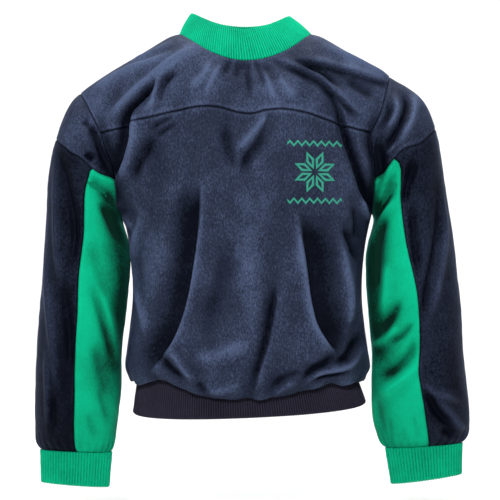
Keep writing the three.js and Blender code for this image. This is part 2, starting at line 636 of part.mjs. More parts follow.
// A ribbed tube: a raised rib every second outer point, over a plain inside with fewer points. face gives
// the outer point at a turn in degrees and a height from 0 to 1, and turns lists the outer points' turns.
function ribTube(face, turns, rows, insideShare, edgeNormal) {
  const points = [];
  const count = turns.length;
  const outward = (turn, h) => {
    const a = face(turn + 1, h).sub(face(turn - 1, h));
    const b = face(turn, Math.min(h + 0.05, 1)).sub(face(turn, Math.max(h - 0.05, 0)));
    return a.cross(b).normalize();
  };
  const ring = (h, every, lift) => {
    const first = points.length;
    for (let i = 0; i < count; i += every) {
      const n = h === 0 && edgeNormal ? edgeNormal(turns[i]) : outward(turns[i], h);
      points.push(face(turns[i], h).addScaledVector(n, lift(i)));
    }
    return { first, count: count / every };
  };
  const heights = Array.from({ length: rows + 1 }, (_, j) => j / rows);
  const outside = heights.map((h) => ring(h, 1, (i) => (i % 2 ? RIB_RISE : 0)));
  const inside = heights.map((h) => ring(h, insideShare, () => -RIB_CLOTH));
  const faces = [];
  const strip = (low, high, flip) => {
    for (let i = 0; i < low.count; i++) {
      const next = (i + 1) % low.count;
      const [a, b, c, d] = [low.first + i, low.first + next, high.first + next, high.first + i];
      faces.push(...(flip ? [[a, c, b], [a, d, c]] : [[a, b, c], [a, c, d]]));
    }
  };
  const rim = (fine, coarse, flip) => {
    for (let k = 0; k < coarse.count; k++) {
      const [a, b] = [coarse.first + k, coarse.first + ((k + 1) % coarse.count)];
      const middle = k * insideShare + insideShare / 2;
      for (let m = 0; m < insideShare; m++) {
        const i = k * insideShare + m;
        const [p, q] = [fine.first + i, fine.first + ((i + 1) % fine.count)];
        faces.push(flip ? [p, q, i < middle ? a : b] : [q, p, i < middle ? a : b]);
      }
      const turn = fine.first + (middle % fine.count);
      faces.push(flip ? [a, turn, b] : [b, turn, a]);
    }
  };
  for (let j = 0; j < rows; j++) {
    strip(outside[j], outside[j + 1], false);
    strip(inside[j], inside[j + 1], true);
  }
  rim(outside[0], inside[0], false);
  rim(outside[rows], inside[rows], true);
  return solid(points, faces);
}

// Turns at even distances round a ring
function evenTurns(face, height, count) {
  const fine = 1440;
  const lengths = [0];
  for (let k = 0; k < fine; k++) {
    const step = face(((k + 1) * 360) / fine, height).distanceTo(face((k * 360) / fine, height));
    lengths.push(lengths[k] + step);
  }
  let k = 0;
  return Array.from({ length: count }, (_, i) => {
    const wanted = (lengths[fine] * i) / count;
    while (lengths[k + 1] < wanted) k++;
    return ((k + (wanted - lengths[k]) / (lengths[k + 1] - lengths[k])) * 360) / fine;
  });
}

const garment = new THREE.Group();
function add(name, geometry, material) {
  const mesh = new THREE.Mesh(geometry, material);
  mesh.name = name;
  garment.add(mesh);
}

// A body panel between two places, with its rows at whole steps
function bodyPanel(side, from, to) {
  const top = BODY_LAST + ARM_STEPS;
  const surface = bodyFace(side);
  const places = Array.from({ length: to - from + 1 }, (_, k) => from + k);
  const grid = places.map((place) =>
    COLUMNS.map((across, i) => {
      const edge = i === 0 || i === COLUMNS.length - 1;
      let n = bodyNormal(side, surface, across, place);
      if (edge && place <= BODY_LAST) n.setY(0).normalize();
      if (edge && place >= BODY_LAST) {
        const step = 180 - (place - BODY_LAST) * ARM_STEP;
        n = armholeNormal(Math.sign(across), side < 0 ? step : 360 - step);
      } else if (place === top) {
        const share = Math.min(ovalX(Math.abs(across)) / neckShare(across), 1);
        const turn = Math.sign(across) * THREE.MathUtils.radToDeg(Math.asin(share));
        n = share < 0.999 ? neckNormal(side < 0 ? turn : 180 - turn) : shoulderNormal(across);
      }
      return { p: surface(across, place), n };
    }),
  );
  return clothWall(grid, CLOTH, { last: true, left: true, right: true, first: from > 0 });
}

function addBody() {
  const yoke = BODY_LAST + YOKE_STEP;
  const top = BODY_LAST + ARM_STEPS;
  add("front_panel", bodyPanel(-1, 0, yoke), NAVY);
  add("front_yoke", bodyPanel(-1, yoke, top), NAVY);
  add("back_panel", bodyPanel(1, 0, top), NAVY);
}

// A sleeve panel over columns, from one row to another that may change with the column
function sleevePanel(which, first, last, from, to, steps, seams) {
  const surface = SLEEVE_FACES[which];
  const { sign } = SLEEVES[which];
  const grid = Array.from({ length: steps + 1 }, (_, j) =>
    Array.from({ length: last - first + 1 }, (_, k) => {
      const i = first + k;
      const row = lerp(from(i), to(i), j / steps);
      const angle = columnAngle(which, i, row);
      const n = row < 1e-6 ? armholeNormal(sign, angle) : sleeveNormal(which, surface, angle, row);
      return { p: surface(angle, row), n };
    }),
  );
  return clothWall(grid, CLOTH, seams, { first: from(first) === 0 ? vec(sign, 0, -0.2) : undefined });
}

function addSleeve(which) {
  const end = SLEEVES[which].last;
  const cap = (i) => {
    const k = ((i % 24) + 24) % 24;
    return along(CAP_ENDS, "column", which, Math.min(k, 24 - k));
  };
  const all = { first: true, last: true, left: true, right: true };
  const long = { first: true, left: true, right: true };
  const addPanel = (part, first, last, from, to, steps, seams, material) =>
    add(`sleeve_${part}_${which}`, sleevePanel(which, first, last, from, to, steps, seams), material);
  addPanel("cap", -8, 8, () => 0, cap, CAP_STEPS, all, NAVY);
  addPanel("outer", -6, 6, cap, () => end, end - 1, long, NAVY);
  addPanel("under", 6, 18, cap, () => end, end - 1, long, GREEN);
}

function addCollar() {
  const count = NECK_POINTS * COLLAR_RIBS_PER_STEP * 2;
  const turns = Array.from({ length: count }, (_, i) => (i * 360) / count);
  const face = (turn, height) => {
    const p = collarFace((turn + 360) % 360, height);
    return height === 0 ? p.add(vec(0, 0, SEAM)) : p;
  };
  add("collar", ribTube(face, turns, 3, 6, neckNormal), GREEN_RIB);
}

function addWaistband() {
  const face = (turn, height) => {
    const across = ((turn + 360) % 360) / 90;
    const side = across <= 1 || across >= 3 ? -1 : 1;
    const x = power(Math.sin(rad(turn)), 2 / SQUARENESS);
    const y = side * Math.abs(Math.cos(rad(turn))) ** (2 / SQUARENESS);
    const key = depthKey(side);
    const at = (name) => lerp(BAND_BOTTOM[name], BAND_TOP[name], height);
    const bottom = BAND_BOTTOM.z + BAND_BOTTOM.tilt * x * BAND_BOTTOM.half + BAND_BOTTOM.dip * y;
    const z = lerp(bottom, WAIST_SEAM_Z - SEAM, height);
    return leant(vec(at("half") * x, at(key) * y, z));
  };
  add("waistband", ribTube(face, evenTurns(face, 0.5, 2 * BAND_RIBS), 1, 8), NAVY_RIB);
}

function addCuff(which) {
  const { sign, rows } = SLEEVES[which];
  const end = rows[rows.length - 1];
  const { xo, xi, bottom } = CUFFS[which];
  const slope = (end.zo - end.zi) / (end.xo - end.xi);
  const top = { xo, xi, zo: end.zo + slope * (xo - end.xo), zi: end.zi + slope * (xi - end.xi) };
  const face = (turn, height) => {
    const c = power(Math.cos(rad(turn)), 2 / SLEEVE_SQUARENESS);
    const d = power(Math.sin(rad(turn)), 2 / SLEEVE_SQUARENESS);
    const at = (key) => lerp(bottom[key], top[key], height);
    const x = (at("xo") + at("xi")) / 2 + (c * (at("xo") - at("xi"))) / 2;
    const z = (at("zo") + at("zi")) / 2 + (c * (at("zo") - at("zi"))) / 2;
    const depth = lerp(bottom.depth, CUFF_DEPTH, height);
    return vec(sign * x, end.y + sign * d * depth, z - SEAM * height);
  };
  add(`cuff_${which}`, ribTube(face, evenTurns(face, 0.5, 2 * CUFF_RIBS), 1, 4), GREEN_RIB);
}

addBody();
addCollar();
addWaistband();
for (const which of ["left", "right"]) {
  addSleeve(which);
  addCuff(which);
}

export default garment;
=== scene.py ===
"""Looks of a velour crew neck sweater, worn and empty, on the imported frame. Sizes are in millimetres until a
mesh is made, which is in metres. +X is to the viewer's right, -Y is the front, +Z is up. A sign of -1 is the
viewer's left and a side of -1 is the front; 1 is the right or the back."""
import math

import bpy
import numpy as np
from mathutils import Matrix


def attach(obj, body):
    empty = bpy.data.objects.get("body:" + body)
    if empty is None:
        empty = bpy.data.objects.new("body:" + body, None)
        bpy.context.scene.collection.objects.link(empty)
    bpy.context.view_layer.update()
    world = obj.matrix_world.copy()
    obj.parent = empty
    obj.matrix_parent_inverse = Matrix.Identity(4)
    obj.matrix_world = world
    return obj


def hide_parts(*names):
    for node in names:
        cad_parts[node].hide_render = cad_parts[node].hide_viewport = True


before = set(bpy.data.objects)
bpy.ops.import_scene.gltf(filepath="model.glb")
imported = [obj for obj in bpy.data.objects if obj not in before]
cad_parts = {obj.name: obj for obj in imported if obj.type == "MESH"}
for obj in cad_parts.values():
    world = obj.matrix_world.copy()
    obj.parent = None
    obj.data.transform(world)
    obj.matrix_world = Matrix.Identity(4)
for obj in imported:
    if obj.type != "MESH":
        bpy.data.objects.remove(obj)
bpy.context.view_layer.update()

# Sizes shared with the solids
CLOTH = 1.8  # thickness of the velour
SEAM = 0.3  # space between two pieces that are sewn together
UNDERARM_X, UNDERARM_Z = 198.0, -283.0
SHOULDER_LEFT, SHOULDER_RIGHT = 265.0, 226.0  # outer ends of the shoulder seams
ARMHOLE_DEPTH = {-1: 72.0, 1: 66.0}
NECK_HALF, NECK_MIDDLE, NECK_ROUNDNESS = 103.5, -10.0, 2.2
NECK_REACH = {-1: 86.0, 1: 60.0}
CHEST = {-1: 136.0, 1: 128.0}  # depth at the underarm
FULLNESS = 2.5  # how full the chest stays up to the shoulder
SQUARENESS, SLEEVE_SQUARENESS = 2.35, 2.15  # of the sections, where 2 is an ellipse
ARM_STEP, ARM_STEPS = 15.0, 12  # steps from the underarm up to the shoulder, in degrees and in all
YOKE_STEP = 7  # the step at which the chest seam meets the armhole
WAIST_SEAM_Z = -533.3


def table(columns, rows):
    """A table as a dict of arrays by column name."""
    return dict(zip(columns.split(), np.array(rows, float).T))


# The body from the waist seam up to the underarm
BODY = table("z lift half front back", [
    (-533.3, 0, 170.5, 105, 102.5),
    (-533.3, 0, 175.5, 110, 107),
    (-542, 2, 178.5, 113, 110),
    (-556, 8, 182.5, 120, 114),
    (-563, 12, 186, 129, 119),
    (-553, 12, 190, 138, 125),
    (-528, 5, 195, 143, 128.5),
    (-496, 0, 192, 142, 129),
    (-458, 0, 187, 138, 127),
    (-416, 0, 183, 134, 125),
    (-370, 0, 184, 133, 125),
    (-325, 0, 189, 134, 126),
    (UNDERARM_Z, 0, UNDERARM_X, CHEST[-1], CHEST[1]),
])
BODY_LAST = len(BODY["z"]) - 1
TOP = BODY_LAST + ARM_STEPS
SHOULDER = table("x z", [
    (0, 4), (60, 4), (100, 3), (118, -1), (135, -10), (160, -25), (214, -56), (250, -79), (265, -90)])
ARMHOLE = {
    -1: table("height front back", [
        (0, 198, 198), (0.1, 204, 199), (0.3, 206, 203), (0.42, 211, 209), (0.53, 220, 216),
        (0.65, 228, 226), (0.8, 242, 241), (1, 265, 265)]),
    1: table("height front back", [
        (0, 198, 198), (0.2, 197.5, 200), (0.35, 195.5, 202), (0.5, 191, 206), (0.57, 191.5, 208),
        (0.7, 205, 213), (0.85, 216, 219), (1, 226, 226)]),
}
YOKE_SEAM = table("share z", [
    (-1, -158), (-0.88, -151), (-0.8, -142), (-0.6, -132.5), (-0.35, -121.5), (-0.2, -122), (-0.08, -129.5),
    (0.03, -132.5), (0.14, -127.5), (0.26, -125.5), (0.42, -130), (0.56, -138.5), (0.8, -152.5), (1, -158)])
LEAN = table("z x", [(-600, 4), (-535, 0), (-150, 0), (0, -3.5), (60, -10)])
SLEEVE = {
    -1: table("xo zo xi zi front back y", [
        (282, -107, 200.5, -287, 76, 70, -3),
        (299.5, -145, 201, -293, 74, 68, -4),
        (311, -190, 198.5, -303, 72, 66, -5),
        (317, -240, 192, -322, 70, 64, -6),
        (319.5, -300, 187.5, -352, 67, 62, -7),
        (324, -365, 188, -395, 64, 60, -9),
        (328.5, -430, 192.5, -442, 62, 57, -11),
        (334, -495, 199, -500, 59, 54, -13),
        (336.5, -555, 199.5, -558, 54, 50, -15),
        (336.5, -608, 206, -611, 45, 42, -16),
        (335, -640, 210.5, -645, 33, 31, -17),
        (326.5, -655, 217, -659, 19, 19, -17),
    ]),
    1: table("xo zo xi zi front back y", [
        (250, -78, 199.5, -285, 77, 70, -3),
        (279, -104, 200.5, -288, 76, 70, -3),
        (297.5, -142, 201, -293, 74, 68, -4),
        (308, -188, 198.5, -303, 72, 66, -5),
        (315.5, -240, 192.5, -322, 70, 64, -6),
        (323.5, -300, 187.5, -352, 68, 63, -7),
        (332, -365, 188, -395, 66, 61, -9),
        (339, -430, 190.5, -442, 64, 58, -11),
        (342.5, -495, 197.5, -500, 61, 55, -13),
        (348, -550, 197, -556, 56, 51, -15),
        (352.5, -598, 199, -606, 46, 43, -16),
        (350, -630, 209, -640, 33, 31, -17),
        (339, -644.5, 221, -652, 19, 19, -17),
    ]),
}
CAP_ENDS = table("column left right", [
    (0, 2.45, 3.13), (2, 2.35, 3.02), (3, 2.25, 2.9), (4, 2.1, 2.65), (5, 1.75, 2.1), (6, 1.25, 1.3),
    (7, 0.7, 0.75), (8, 0, 0)])
COLOUR_SEAM = {
    -1: table("row angle", [
        (1.25, 97), (1.6, 95), (2.1, 95), (3.4, 92.5), (4.8, 90), (6, 86.5), (7.2, 88.5), (12, 92)]),
    1: table("row angle", [
        (1.3, 97), (2.1, 96), (3.3, 105), (4.2, 105), (6, 97), (7.2, 90.5), (8.3, 90), (9.5, 94), (10.5, 90),
        (13, 86)]),
}
COLLAR = dict(half=78.0, middle_x=-4.5, y=-16.5, depth=61.5, squareness=1.8, front_z=1.5, side_z=32.5,
              back_z=24.0, tilt=-0.03, bulge=1.6)
COLLAR_RIBS, BAND_RIBS, CUFF_RIBS = 144, 260, 56
BAND_TOP = dict(half=172.5, front=107.0, back=104.5)
BAND_BOTTOM = dict(half=185.0, front=118.0, back=112.0, z=-586.5, tilt=0.044, dip=6.0)
CUFF_DEPTH = 20.5
CUFF = {
    -1: dict(xo=328.0, xi=215.5, bottom=dict(xo=327.0, zo=-705.0, xi=220.0, zi=-713.0, depth=20.0)),
    1: dict(xo=340.5, xi=219.5, bottom=dict(xo=339.0, zo=-692.5, xi=228.5, zi=-708.0, depth=21.0)),
}

# Camera, and the front view that folds use
EYE = np.array([4.0, -2222.0, -339.2])
UNIT = 1.6  # one step of the front view, in mm, at the garment's middle


def front_view(p):
    """Steps across and down in the camera's picture for points p."""
    near = -EYE[1] / (p[..., 1] - EYE[1])
    return np.stack([250 + (p[..., 0] - EYE[0]) * near / UNIT, 250 - (p[..., 2] - EYE[2]) * near / UNIT], -1)


# Small helpers
def smooth(x, low, high):
    t = np.clip((x - low) / (high - low), 0, 1)
    return t * t * (3 - 2 * t)


def between(x, start, full, fading, end):
    """1 from full to fading, and smoothly down to 0 at start and end."""
    return smooth(x, start, full) * (1 - smooth(x, fading, end))


def lerp(a, b, t):
    return a + (b - a) * t


def power(x, n):
    return np.sign(x) * np.abs(x) ** n


def rounded(angle, squareness):
    """Cosine and sine of an angle in degrees, on a rounded square instead of a circle."""
    turn = np.radians(angle)
    return power(np.cos(turn), 2 / squareness), power(np.sin(turn), 2 / squareness)


def unit(v):
    return v / np.maximum(np.linalg.norm(v, axis=-1, keepdims=True), 1e-9)


def along(places, values, at):
    """A table column at places between its rows, on a smooth curve through them."""
    last = len(places) - 1
    at = np.clip(at, places[0], places[-1])
    k = np.clip(np.searchsorted(places, at, side="left") - 1, 0, last - 1)
    before, after = np.maximum(k - 1, 0), np.minimum(k + 2, last)
    gap = places[k + 1] - places[k]
    s = (at - places[k]) / gap
    enter = (values[k + 1] - values[before]) / (places[k + 1] - places[before]) * gap
    leave = (values[after] - values[k]) / (places[after] - places[k]) * gap
    rise = values[k + 1] - values[k]
    return values[k] + rise * (3 - 2 * s) * s * s + enter * ((s - 2) * s * s + s) + leave * (s - 1) * s * s


def spline(get, last, place):
    """A value at places between rows, on a smooth curve through them."""
    k = np.minimum(np.floor(place).astype(int), last - 1)
    s = place - k
    a, b, c, d = (get(np.clip(k + i, 0, last)) for i in (-1, 0, 1, 2))
    if b.ndim > s.ndim:
        s = s[..., None]
    return 0.5 * (2 * b + (c - a) * s + (2 * a - 5 * b + 4 * c - d) * s**2 + (3 * b - a - 3 * c + d) * s**3)


def leant(p):
    return p + np.stack([along(LEAN["z"], LEAN["x"], p[..., 2]), 0 * p[..., 0], 0 * p[..., 0]], -1)


# The body's surface
# across runs from -1 at the left side seam to 1 at the right one, and place or row from the waist seam up
def oval_x(across):
    return power(np.sin(across * math.pi / 2), 2 / SQUARENESS)


def oval_y(across):
    return np.abs(np.cos(across * math.pi / 2)) ** (2 / SQUARENESS)


def across_of(share):
    return np.sign(share) * 2 * np.arcsin(np.abs(share) ** (SQUARENESS / 2)) / math.pi


def depth_name(side):
    return "front" if side < 0 else "back"


def shoulder_x(share):
    return np.where(share < 0, SHOULDER_LEFT, SHOULDER_RIGHT)


def neck_share(share):
    return NECK_HALF / shoulder_x(share)


def top_z(share):
    return along(SHOULDER["x"], SHOULDER["z"], np.abs(share) * shoulder_x(share))


def lower_body(side, across, row):
    def at(key):
        return spline(lambda k: BODY[key][k], BODY_LAST, row)

    share = oval_x(across)
    z = at("z") + at("lift") * share**4
    return np.stack([at("half") * share, side * at(depth_name(side)) * oval_y(across), z], -1)


def edge_x(side, share, height):
    even = lerp(UNDERARM_X, shoulder_x(share), height**2)
    own = [along(ARMHOLE[s]["height"], ARMHOLE[s][depth_name(side)], height) for s in (-1, 1)]
    return lerp(even, np.where(share < 0, own[0], own[1]), share**6)


def upper_body(side, across, height):
    share = oval_x(across)
    height = np.clip(height, 0, 1)
    fall = np.maximum(0, 1 - height**FULLNESS) ** (1 / FULLNESS)
    chest = (CHEST[side] * oval_y(across) - side * NECK_MIDDLE) * fall
    arm = ARMHOLE_DEPTH[side] * np.sqrt(np.maximum(0, 4 * height * (1 - height))) * share**2
    edge = -side * NECK_MIDDLE * fall
    y = NECK_MIDDLE + side * (edge + np.hypot(chest - edge, arm))
    return np.stack([edge_x(side, share, height) * share, y, lerp(UNDERARM_Z, top_z(share), height)], -1)


def top_height(side, across):
    share = oval_x(across)
    part = np.minimum(np.abs(share) / neck_share(share), 1)
    reach = NECK_REACH[side] * (1 - part**NECK_ROUNDNESS) ** (1 / FULLNESS)
    full = CHEST[side] * oval_y(across) - side * NECK_MIDDLE
    return (1 - (reach / np.maximum(full, 1e-6)) ** FULLNESS) ** (1 / FULLNESS)


def height_of(step):
    return (1 - np.cos(np.radians(step * ARM_STEP))) / 2


def body_at(side, across, place):
    across, place = np.broadcast_arrays(np.asarray(across, float), np.asarray(place, float))
    low = lower_body(side, across, np.minimum(place, BODY_LAST))
    step = np.clip(place - BODY_LAST, 0, ARM_STEPS)
    share = oval_x(across)
    seam = (along(YOKE_SEAM["share"], YOKE_SEAM["z"], share) - UNDERARM_Z) / (top_z(share) - UNDERARM_Z)
    risen, yoke = height_of(step), height_of(YOKE_STEP)
    below = seam * lerp(step / YOKE_STEP, risen / yoke, share**4)
    above = lerp(seam, top_height(side, across), (risen - yoke) / (1 - yoke))
    high = upper_body(side, across, np.where(step <= YOKE_STEP, below, above))
    return leant(np.where((place <= BODY_LAST)[..., None], low, high))


def surface_normal(surface, a, b, step_a, step_b, limits_a, limits_b):
    da = surface(np.minimum(a + step_a, limits_a[1]), b) - surface(np.maximum(a - step_a, limits_a[0]), b)
    db = surface(a, np.minimum(b + step_b, limits_b[1])) - surface(a, np.maximum(b - step_b, limits_b[0]))
    return unit(np.cross(da, db))


def body_normal(side, across, place):
    n = surface_normal(lambda a, b: body_at(side, a, b), across, place, 0.01, 0.05, (-1, 1), (0, TOP))
    return -side * n


# The sleeves' surface
# angle goes round from the outer edge to the front, the inner edge and the back; row runs from the armhole
# down to the cuff
LINE_KEYS = ("xo", "xi", "zo", "zi")


def section_line(ends, c):
    """x and z on the line between a section's outer and inner ends, where c goes from 1 to -1."""
    return ((ends[a + "o"] + ends[a + "i"]) / 2 + c * (ends[a + "o"] - ends[a + "i"]) / 2 for a in "xz")


def armhole_place(angle):
    """For angles round a sleeve: whether each is at the front, and the body's row beside it."""
    turned = np.mod(angle, 360)
    front = turned <= 180
    return front[..., None], BODY_LAST + (180 - np.where(front, turned, 360 - turned)) / ARM_STEP


def armhole(sign, angle):
    front, place = armhole_place(angle)
    return np.where(front, *(body_at(side, float(sign) + 0 * place, place) for side in (-1, 1)))


def sleeve_at(sign, angle, row):
    rows = SLEEVE[sign]
    last = len(rows["xo"])
    angle, row = np.broadcast_arrays(np.asarray(angle, float), np.asarray(row, float))
    start = armhole(sign, angle)
    c, d = rounded(angle, SLEEVE_SQUARENESS)

    def section(k):
        s = {key: value[np.maximum(k - 1, 0)] for key, value in rows.items()}
        x, z = section_line(s, c)
        y = s["y"] - d * np.where(d > 0, s["front"], s["back"])
        return np.where((k == 0)[..., None], start, np.stack([sign * x, y, z], -1))

    return spline(section, last, row)


def sleeve_normal(sign, angle, row):
    last = len(SLEEVE[sign]["xo"])
    n = surface_normal(lambda a, b: sleeve_at(sign, a, b), angle, row, 2.0, 0.04, (-720, 720), (0, last))
    return sign * n


def armhole_normal(sign, angle):
    """Common outward direction of the two cloths that meet at the armhole."""
    front, place = armhole_place(angle)
    place = np.minimum(place, TOP - 0.2)
    body = np.where(front, *(body_normal(side, float(sign) + 0 * place, place) for side in (-1, 1)))
    turn = np.radians(np.mod(angle, 360))
    around = np.stack([0 * turn, -np.sin(turn), np.cos(turn)], -1)
    return unit(body + sleeve_normal(sign, angle, 0.05 + 0 * turn) + around)


def column_angle(sign, i, row):
    """Angle of column i, of 24 round a sleeve. Columns near the colour seams follow them down the rows."""
    turn = np.floor(i / 24)
    k = i - 24 * turn
    mirrored = np.where(k > 12, 24 - k, k)
    hat = np.where(mirrored < 6, mirrored / 6, (12 - mirrored) / 6)
    seam = along(COLOUR_SEAM[sign]["row"], COLOUR_SEAM[sign]["angle"], row)
    angle = mirrored * ARM_STEP + (seam - 90) * hat * smooth(row, 0, 1.2)
    return 360 * turn + np.where(k > 12, 360 - angle, angle)


def cap_end(sign, i):
    """The row at which the sleeve cap ends in column i."""
    k = np.mod(i, 24)
    return along(CAP_ENDS["column"], CAP_ENDS["left" if sign < 0 else "right"], np.minimum(k, 24 - k))


# Folds
# Each fold: its height in mm, below 0 for a trough, its half widths to the left and right of the path as it
# runs down, how sharp its crest is from 0 to 1, and its path. Widths and paths are in the front view's steps.
FOLDS_BODY_FRONT = [
    # left armhole side: deep trough along the sleeve, ridge beside it, fold that hangs over it
    (-10, 6, 6, 0.1, [(176, 70), (158, 80), (147, 91), (137, 101), (128, 112), (123, 126), (121, 142),
            (117, 160), (113, 178)]),
    (7, 5, 8, 0.5, [(194, 46), (163, 68), (129, 98), (107, 117)]),
    (5, 3.5, 5, 0.6, [(172, 66), (158, 80), (153, 101), (140, 114)]),
    (5, 3, 6, 0.7, [(133, 117), (133, 133), (128, 155), (120, 176), (115, 190)]),
    (-5, 7, 7, 0.1, [(151, 132), (145, 150), (137, 166), (130, 182)]),
    (3, 2.5, 4, 0.7, [(174, 41), (152, 52), (124, 66)]),
    (4, 3, 5, 0.6, [(176, 50), (150, 62), (122, 72), (96, 88)]),
    (-5, 3, 3, 0.4, [(173, 116), (160, 122), (149, 129)]),
    (-4, 3, 3, 0.4, [(177, 123), (165, 129), (154, 137)]),
    (-6, 4, 4, 0.2, [(176, 71), (166, 79), (160, 90), (157, 103)]),
    (5, 4, 6, 0.6, [(116, 196), (122, 214), (135, 232)]),
    # long folds of the front
    (5, 3, 5, 0.6, [(137, 208), (139, 222), (134, 240), (132, 262), (136, 294), (143, 321), (147, 353)]),
    (-13, 5, 5, 0.1, [(160, 354), (165, 364), (172, 375), (184, 388)]),
    (6, 3, 4, 0.6, [(168, 350), (177, 361), (185, 375), (198, 389)]),
    (6, 5, 4, 0.5, [(340, 226), (344, 258), (350, 290), (350, 314), (346, 340)]),
    (3.5, 2, 3, 0.7, [(202, 184), (202, 208), (199, 240), (193, 280), (189, 300), (183, 322), (175, 341),
            (163, 358), (150, 380)]),
    (5, 5, 3, 0.5, [(297, 216), (300, 242), (304, 268), (309, 300), (315, 325), (326, 343), (338, 356)]),
    (-8, 5, 5, 0.3, [(345, 228), (352, 244), (357, 262)]),
    (-12, 6, 6, 0.3, [(362, 332), (354, 346), (347, 358), (334, 364)]),
    (9, 4, 5, 0.5, [(364, 346), (354, 362), (340, 373), (320, 377), (306, 388)]),
    (-12, 6, 6, 0.2, [(338, 352), (326, 364), (314, 372), (304, 384)]),
    (-9, 4, 4, 0.3, [(352, 372), (338, 380), (324, 384), (310, 391)]),
    (-2.5, 9, 10, 0, [(226, 222), (224, 258), (219, 282), (211, 308), (205, 342)]),
    (1.8, 15, 13, 0, [(249, 236), (252, 290), (245, 340)]),
    # broad highlights and hollows of the bloused hem
    (3, 9, 9, 0.1, [(192, 352), (208, 357), (232, 350), (250, 342)]),
    (2, 5, 5, 0.3, [(206, 393), (222, 390), (242, 382)]),
    (-3, 6, 5, 0.2, [(270, 388), (286, 378), (302, 372)]),
    (3, 5, 5, 0.3, [(272, 396), (284, 389), (296, 382)]),
    (-4, 5, 5, 0.3, [(196, 384), (206, 396)]),
    # under the yoke
    (6, 6, 4, 0.6, [(266, 112), (261, 125), (248, 139), (236, 152)]),
    (-5, 4, 8, 0.2, [(269, 118), (258, 142), (246, 158), (243, 176)]),
    (-3, 6, 6, 0.2, [(224, 118), (228, 148), (234, 170)]),
    # neck puckers
    (-4, 2.5, 3, 0.5, [(247, 57), (248, 76), (250, 98)]),
    (-4, 2.5, 3, 0.5, [(254, 57), (260, 72), (266, 86)]),
    (-3, 2.5, 2.5, 0.5, [(239, 57), (238, 68), (236, 78)]),
    (3, 4, 4, 0.3, [(262, 70), (270, 88), (275, 100)]),
    (-3, 2.5, 2.5, 0.5, [(230, 57), (227, 66), (224, 74)]),
    (-3, 2.5, 2.5, 0.5, [(243, 57), (243, 64), (242, 70)]),
    (3, 3, 4, 0.4, [(222, 62), (212, 80), (204, 96)]),
    (3, 5, 5, 0.3, [(212, 60), (202, 78), (190, 86)]),
    (-3, 5, 5, 0.3, [(262, 62), (282, 84)]),
    (3, 5, 5, 0.3, [(268, 66), (286, 88), (296, 100)]),
    # right shoulder
    (3, 3, 4, 0.7, [(322, 45), (350, 58), (378, 72), (396, 84)]),
    (-7, 4, 5, 0.1, [(304, 60), (316, 67), (330, 77), (342, 88)]),
    (-4, 6, 7, 0.1, [(346, 78), (362, 88), (376, 98)]),
    (-9, 6, 6, 0.1, [(338, 112), (345, 130), (353, 152), (362, 178), (370, 202), (376, 224)]),
    (6, 4, 6, 0.5, [(362, 196), (366, 212), (372, 222)]),
    (-5, 4, 4, 0.4, [(354, 204), (357, 224), (356, 240)]),
]
# Each crease where the cloth steps: height in mm and half width on the left of the path as it runs down, the
# same on the right, half width of the step itself, and its path
STEPS_BODY_FRONT = [
    (-17, 19, 1.5, 5, 2.6, [(199, 180), (199, 205), (196, 240), (190, 280), (186, 300), (180, 322),
            (172, 340), (160, 357), (147, 379)]),
    (2, 6, -17, 21, 3.2, [(301, 208), (304, 240), (309, 268), (313, 300), (319, 324), (329, 341),
            (341, 356)]),
    (-9, 7, 3, 12, 1.2, [(277, 282), (276, 302), (272, 325), (269, 341), (264, 357), (258, 376),
            (253, 398)]),
    (-11, 6, 4, 6, 1.3, [(157, 79), (150, 91), (140, 101), (131, 111), (129, 124), (129, 140), (125, 158),
            (118, 177)]),
    (-8, 6, 3, 6, 1.2, [(274, 60), (300, 69), (320, 78), (335, 92), (350, 106), (362, 117)]),
    (-7, 6, 3, 5, 1.2, [(294, 58), (318, 62), (345, 69), (366, 76), (396, 86)]),
    (-9, 6, 2, 6, 1.3, [(329, 84), (341, 106), (347, 126), (353, 146), (361, 166), (368, 188), (373, 206)]),
]
STEPS_BODY_BACK = [
    (-12, 16, 4, 10, 4.5, [(206, 186), (200, 236), (192, 286), (176, 340), (160, 372)]),
    (4, 10, -12, 17, 4.5, [(292, 196), (302, 244), (306, 296), (326, 346), (340, 364)]),
    (-6, 11, 3, 13, 1.6, [(248, 254), (246, 292), (250, 334), (247, 382)]),
]
FOLDS_SLEEVE_LEFT = [
    (-6, 3, 5, 0.5, [(78, 96), (88, 112), (97, 132), (104, 150)]),
    (6, 4, 5, 0.5, [(112, 90), (96, 112), (88, 130)]),
    (-11, 5, 6, 0.1, [(90, 122), (98, 140), (106, 158), (115, 175)]),
    (-6, 4, 4, 0.2, [(82, 120), (90, 126), (96, 134)]),
    (-6, 4, 6, 0.3, [(84, 152), (92, 162)]),
    (5, 4, 4, 0.4, [(100, 112), (102, 130), (108, 152), (116, 172)]),
    (-7, 4, 5, 0.3, [(58, 150), (68, 190), (74, 230), (72, 262)]),
    (5, 3, 5, 0.6, [(57, 150), (56, 200), (57, 250), (60, 286)]),
    (5, 4, 4, 0.6, [(46, 262), (50, 310), (54, 356), (58, 400)]),
    (5, 3, 4, 0.6, [(47, 340), (48, 390), (48, 432)]),
    (-6, 5, 6, 0.2, [(62, 280), (68, 330), (70, 372)]),
    (-5, 4, 4, 0.3, [(52, 392), (53, 430)]),
    (-7, 5, 8, 0.1, [(88, 178), (100, 190), (116, 204)]),
    (-6, 5, 8, 0.3, [(100, 200), (110, 222), (120, 240)]),
    (-3, 7, 8, 0.1, [(90, 240), (98, 268), (108, 300)]),
    (-5, 5, 6, 0.3, [(91, 282), (100, 310), (109, 340), (116, 366)]),
    (5, 5, 6, 0.4, [(100, 290), (108, 318), (114, 346), (118, 368)]),
    (-2.5, 6, 6, 0.2, [(94, 344), (101, 372), (108, 400)]),
    (-2.5, 4, 4, 0.3, [(99, 388), (105, 408), (110, 424)]),
    (-2, 4, 4, 0.3, [(88, 414), (92, 428), (97, 440)]),
]
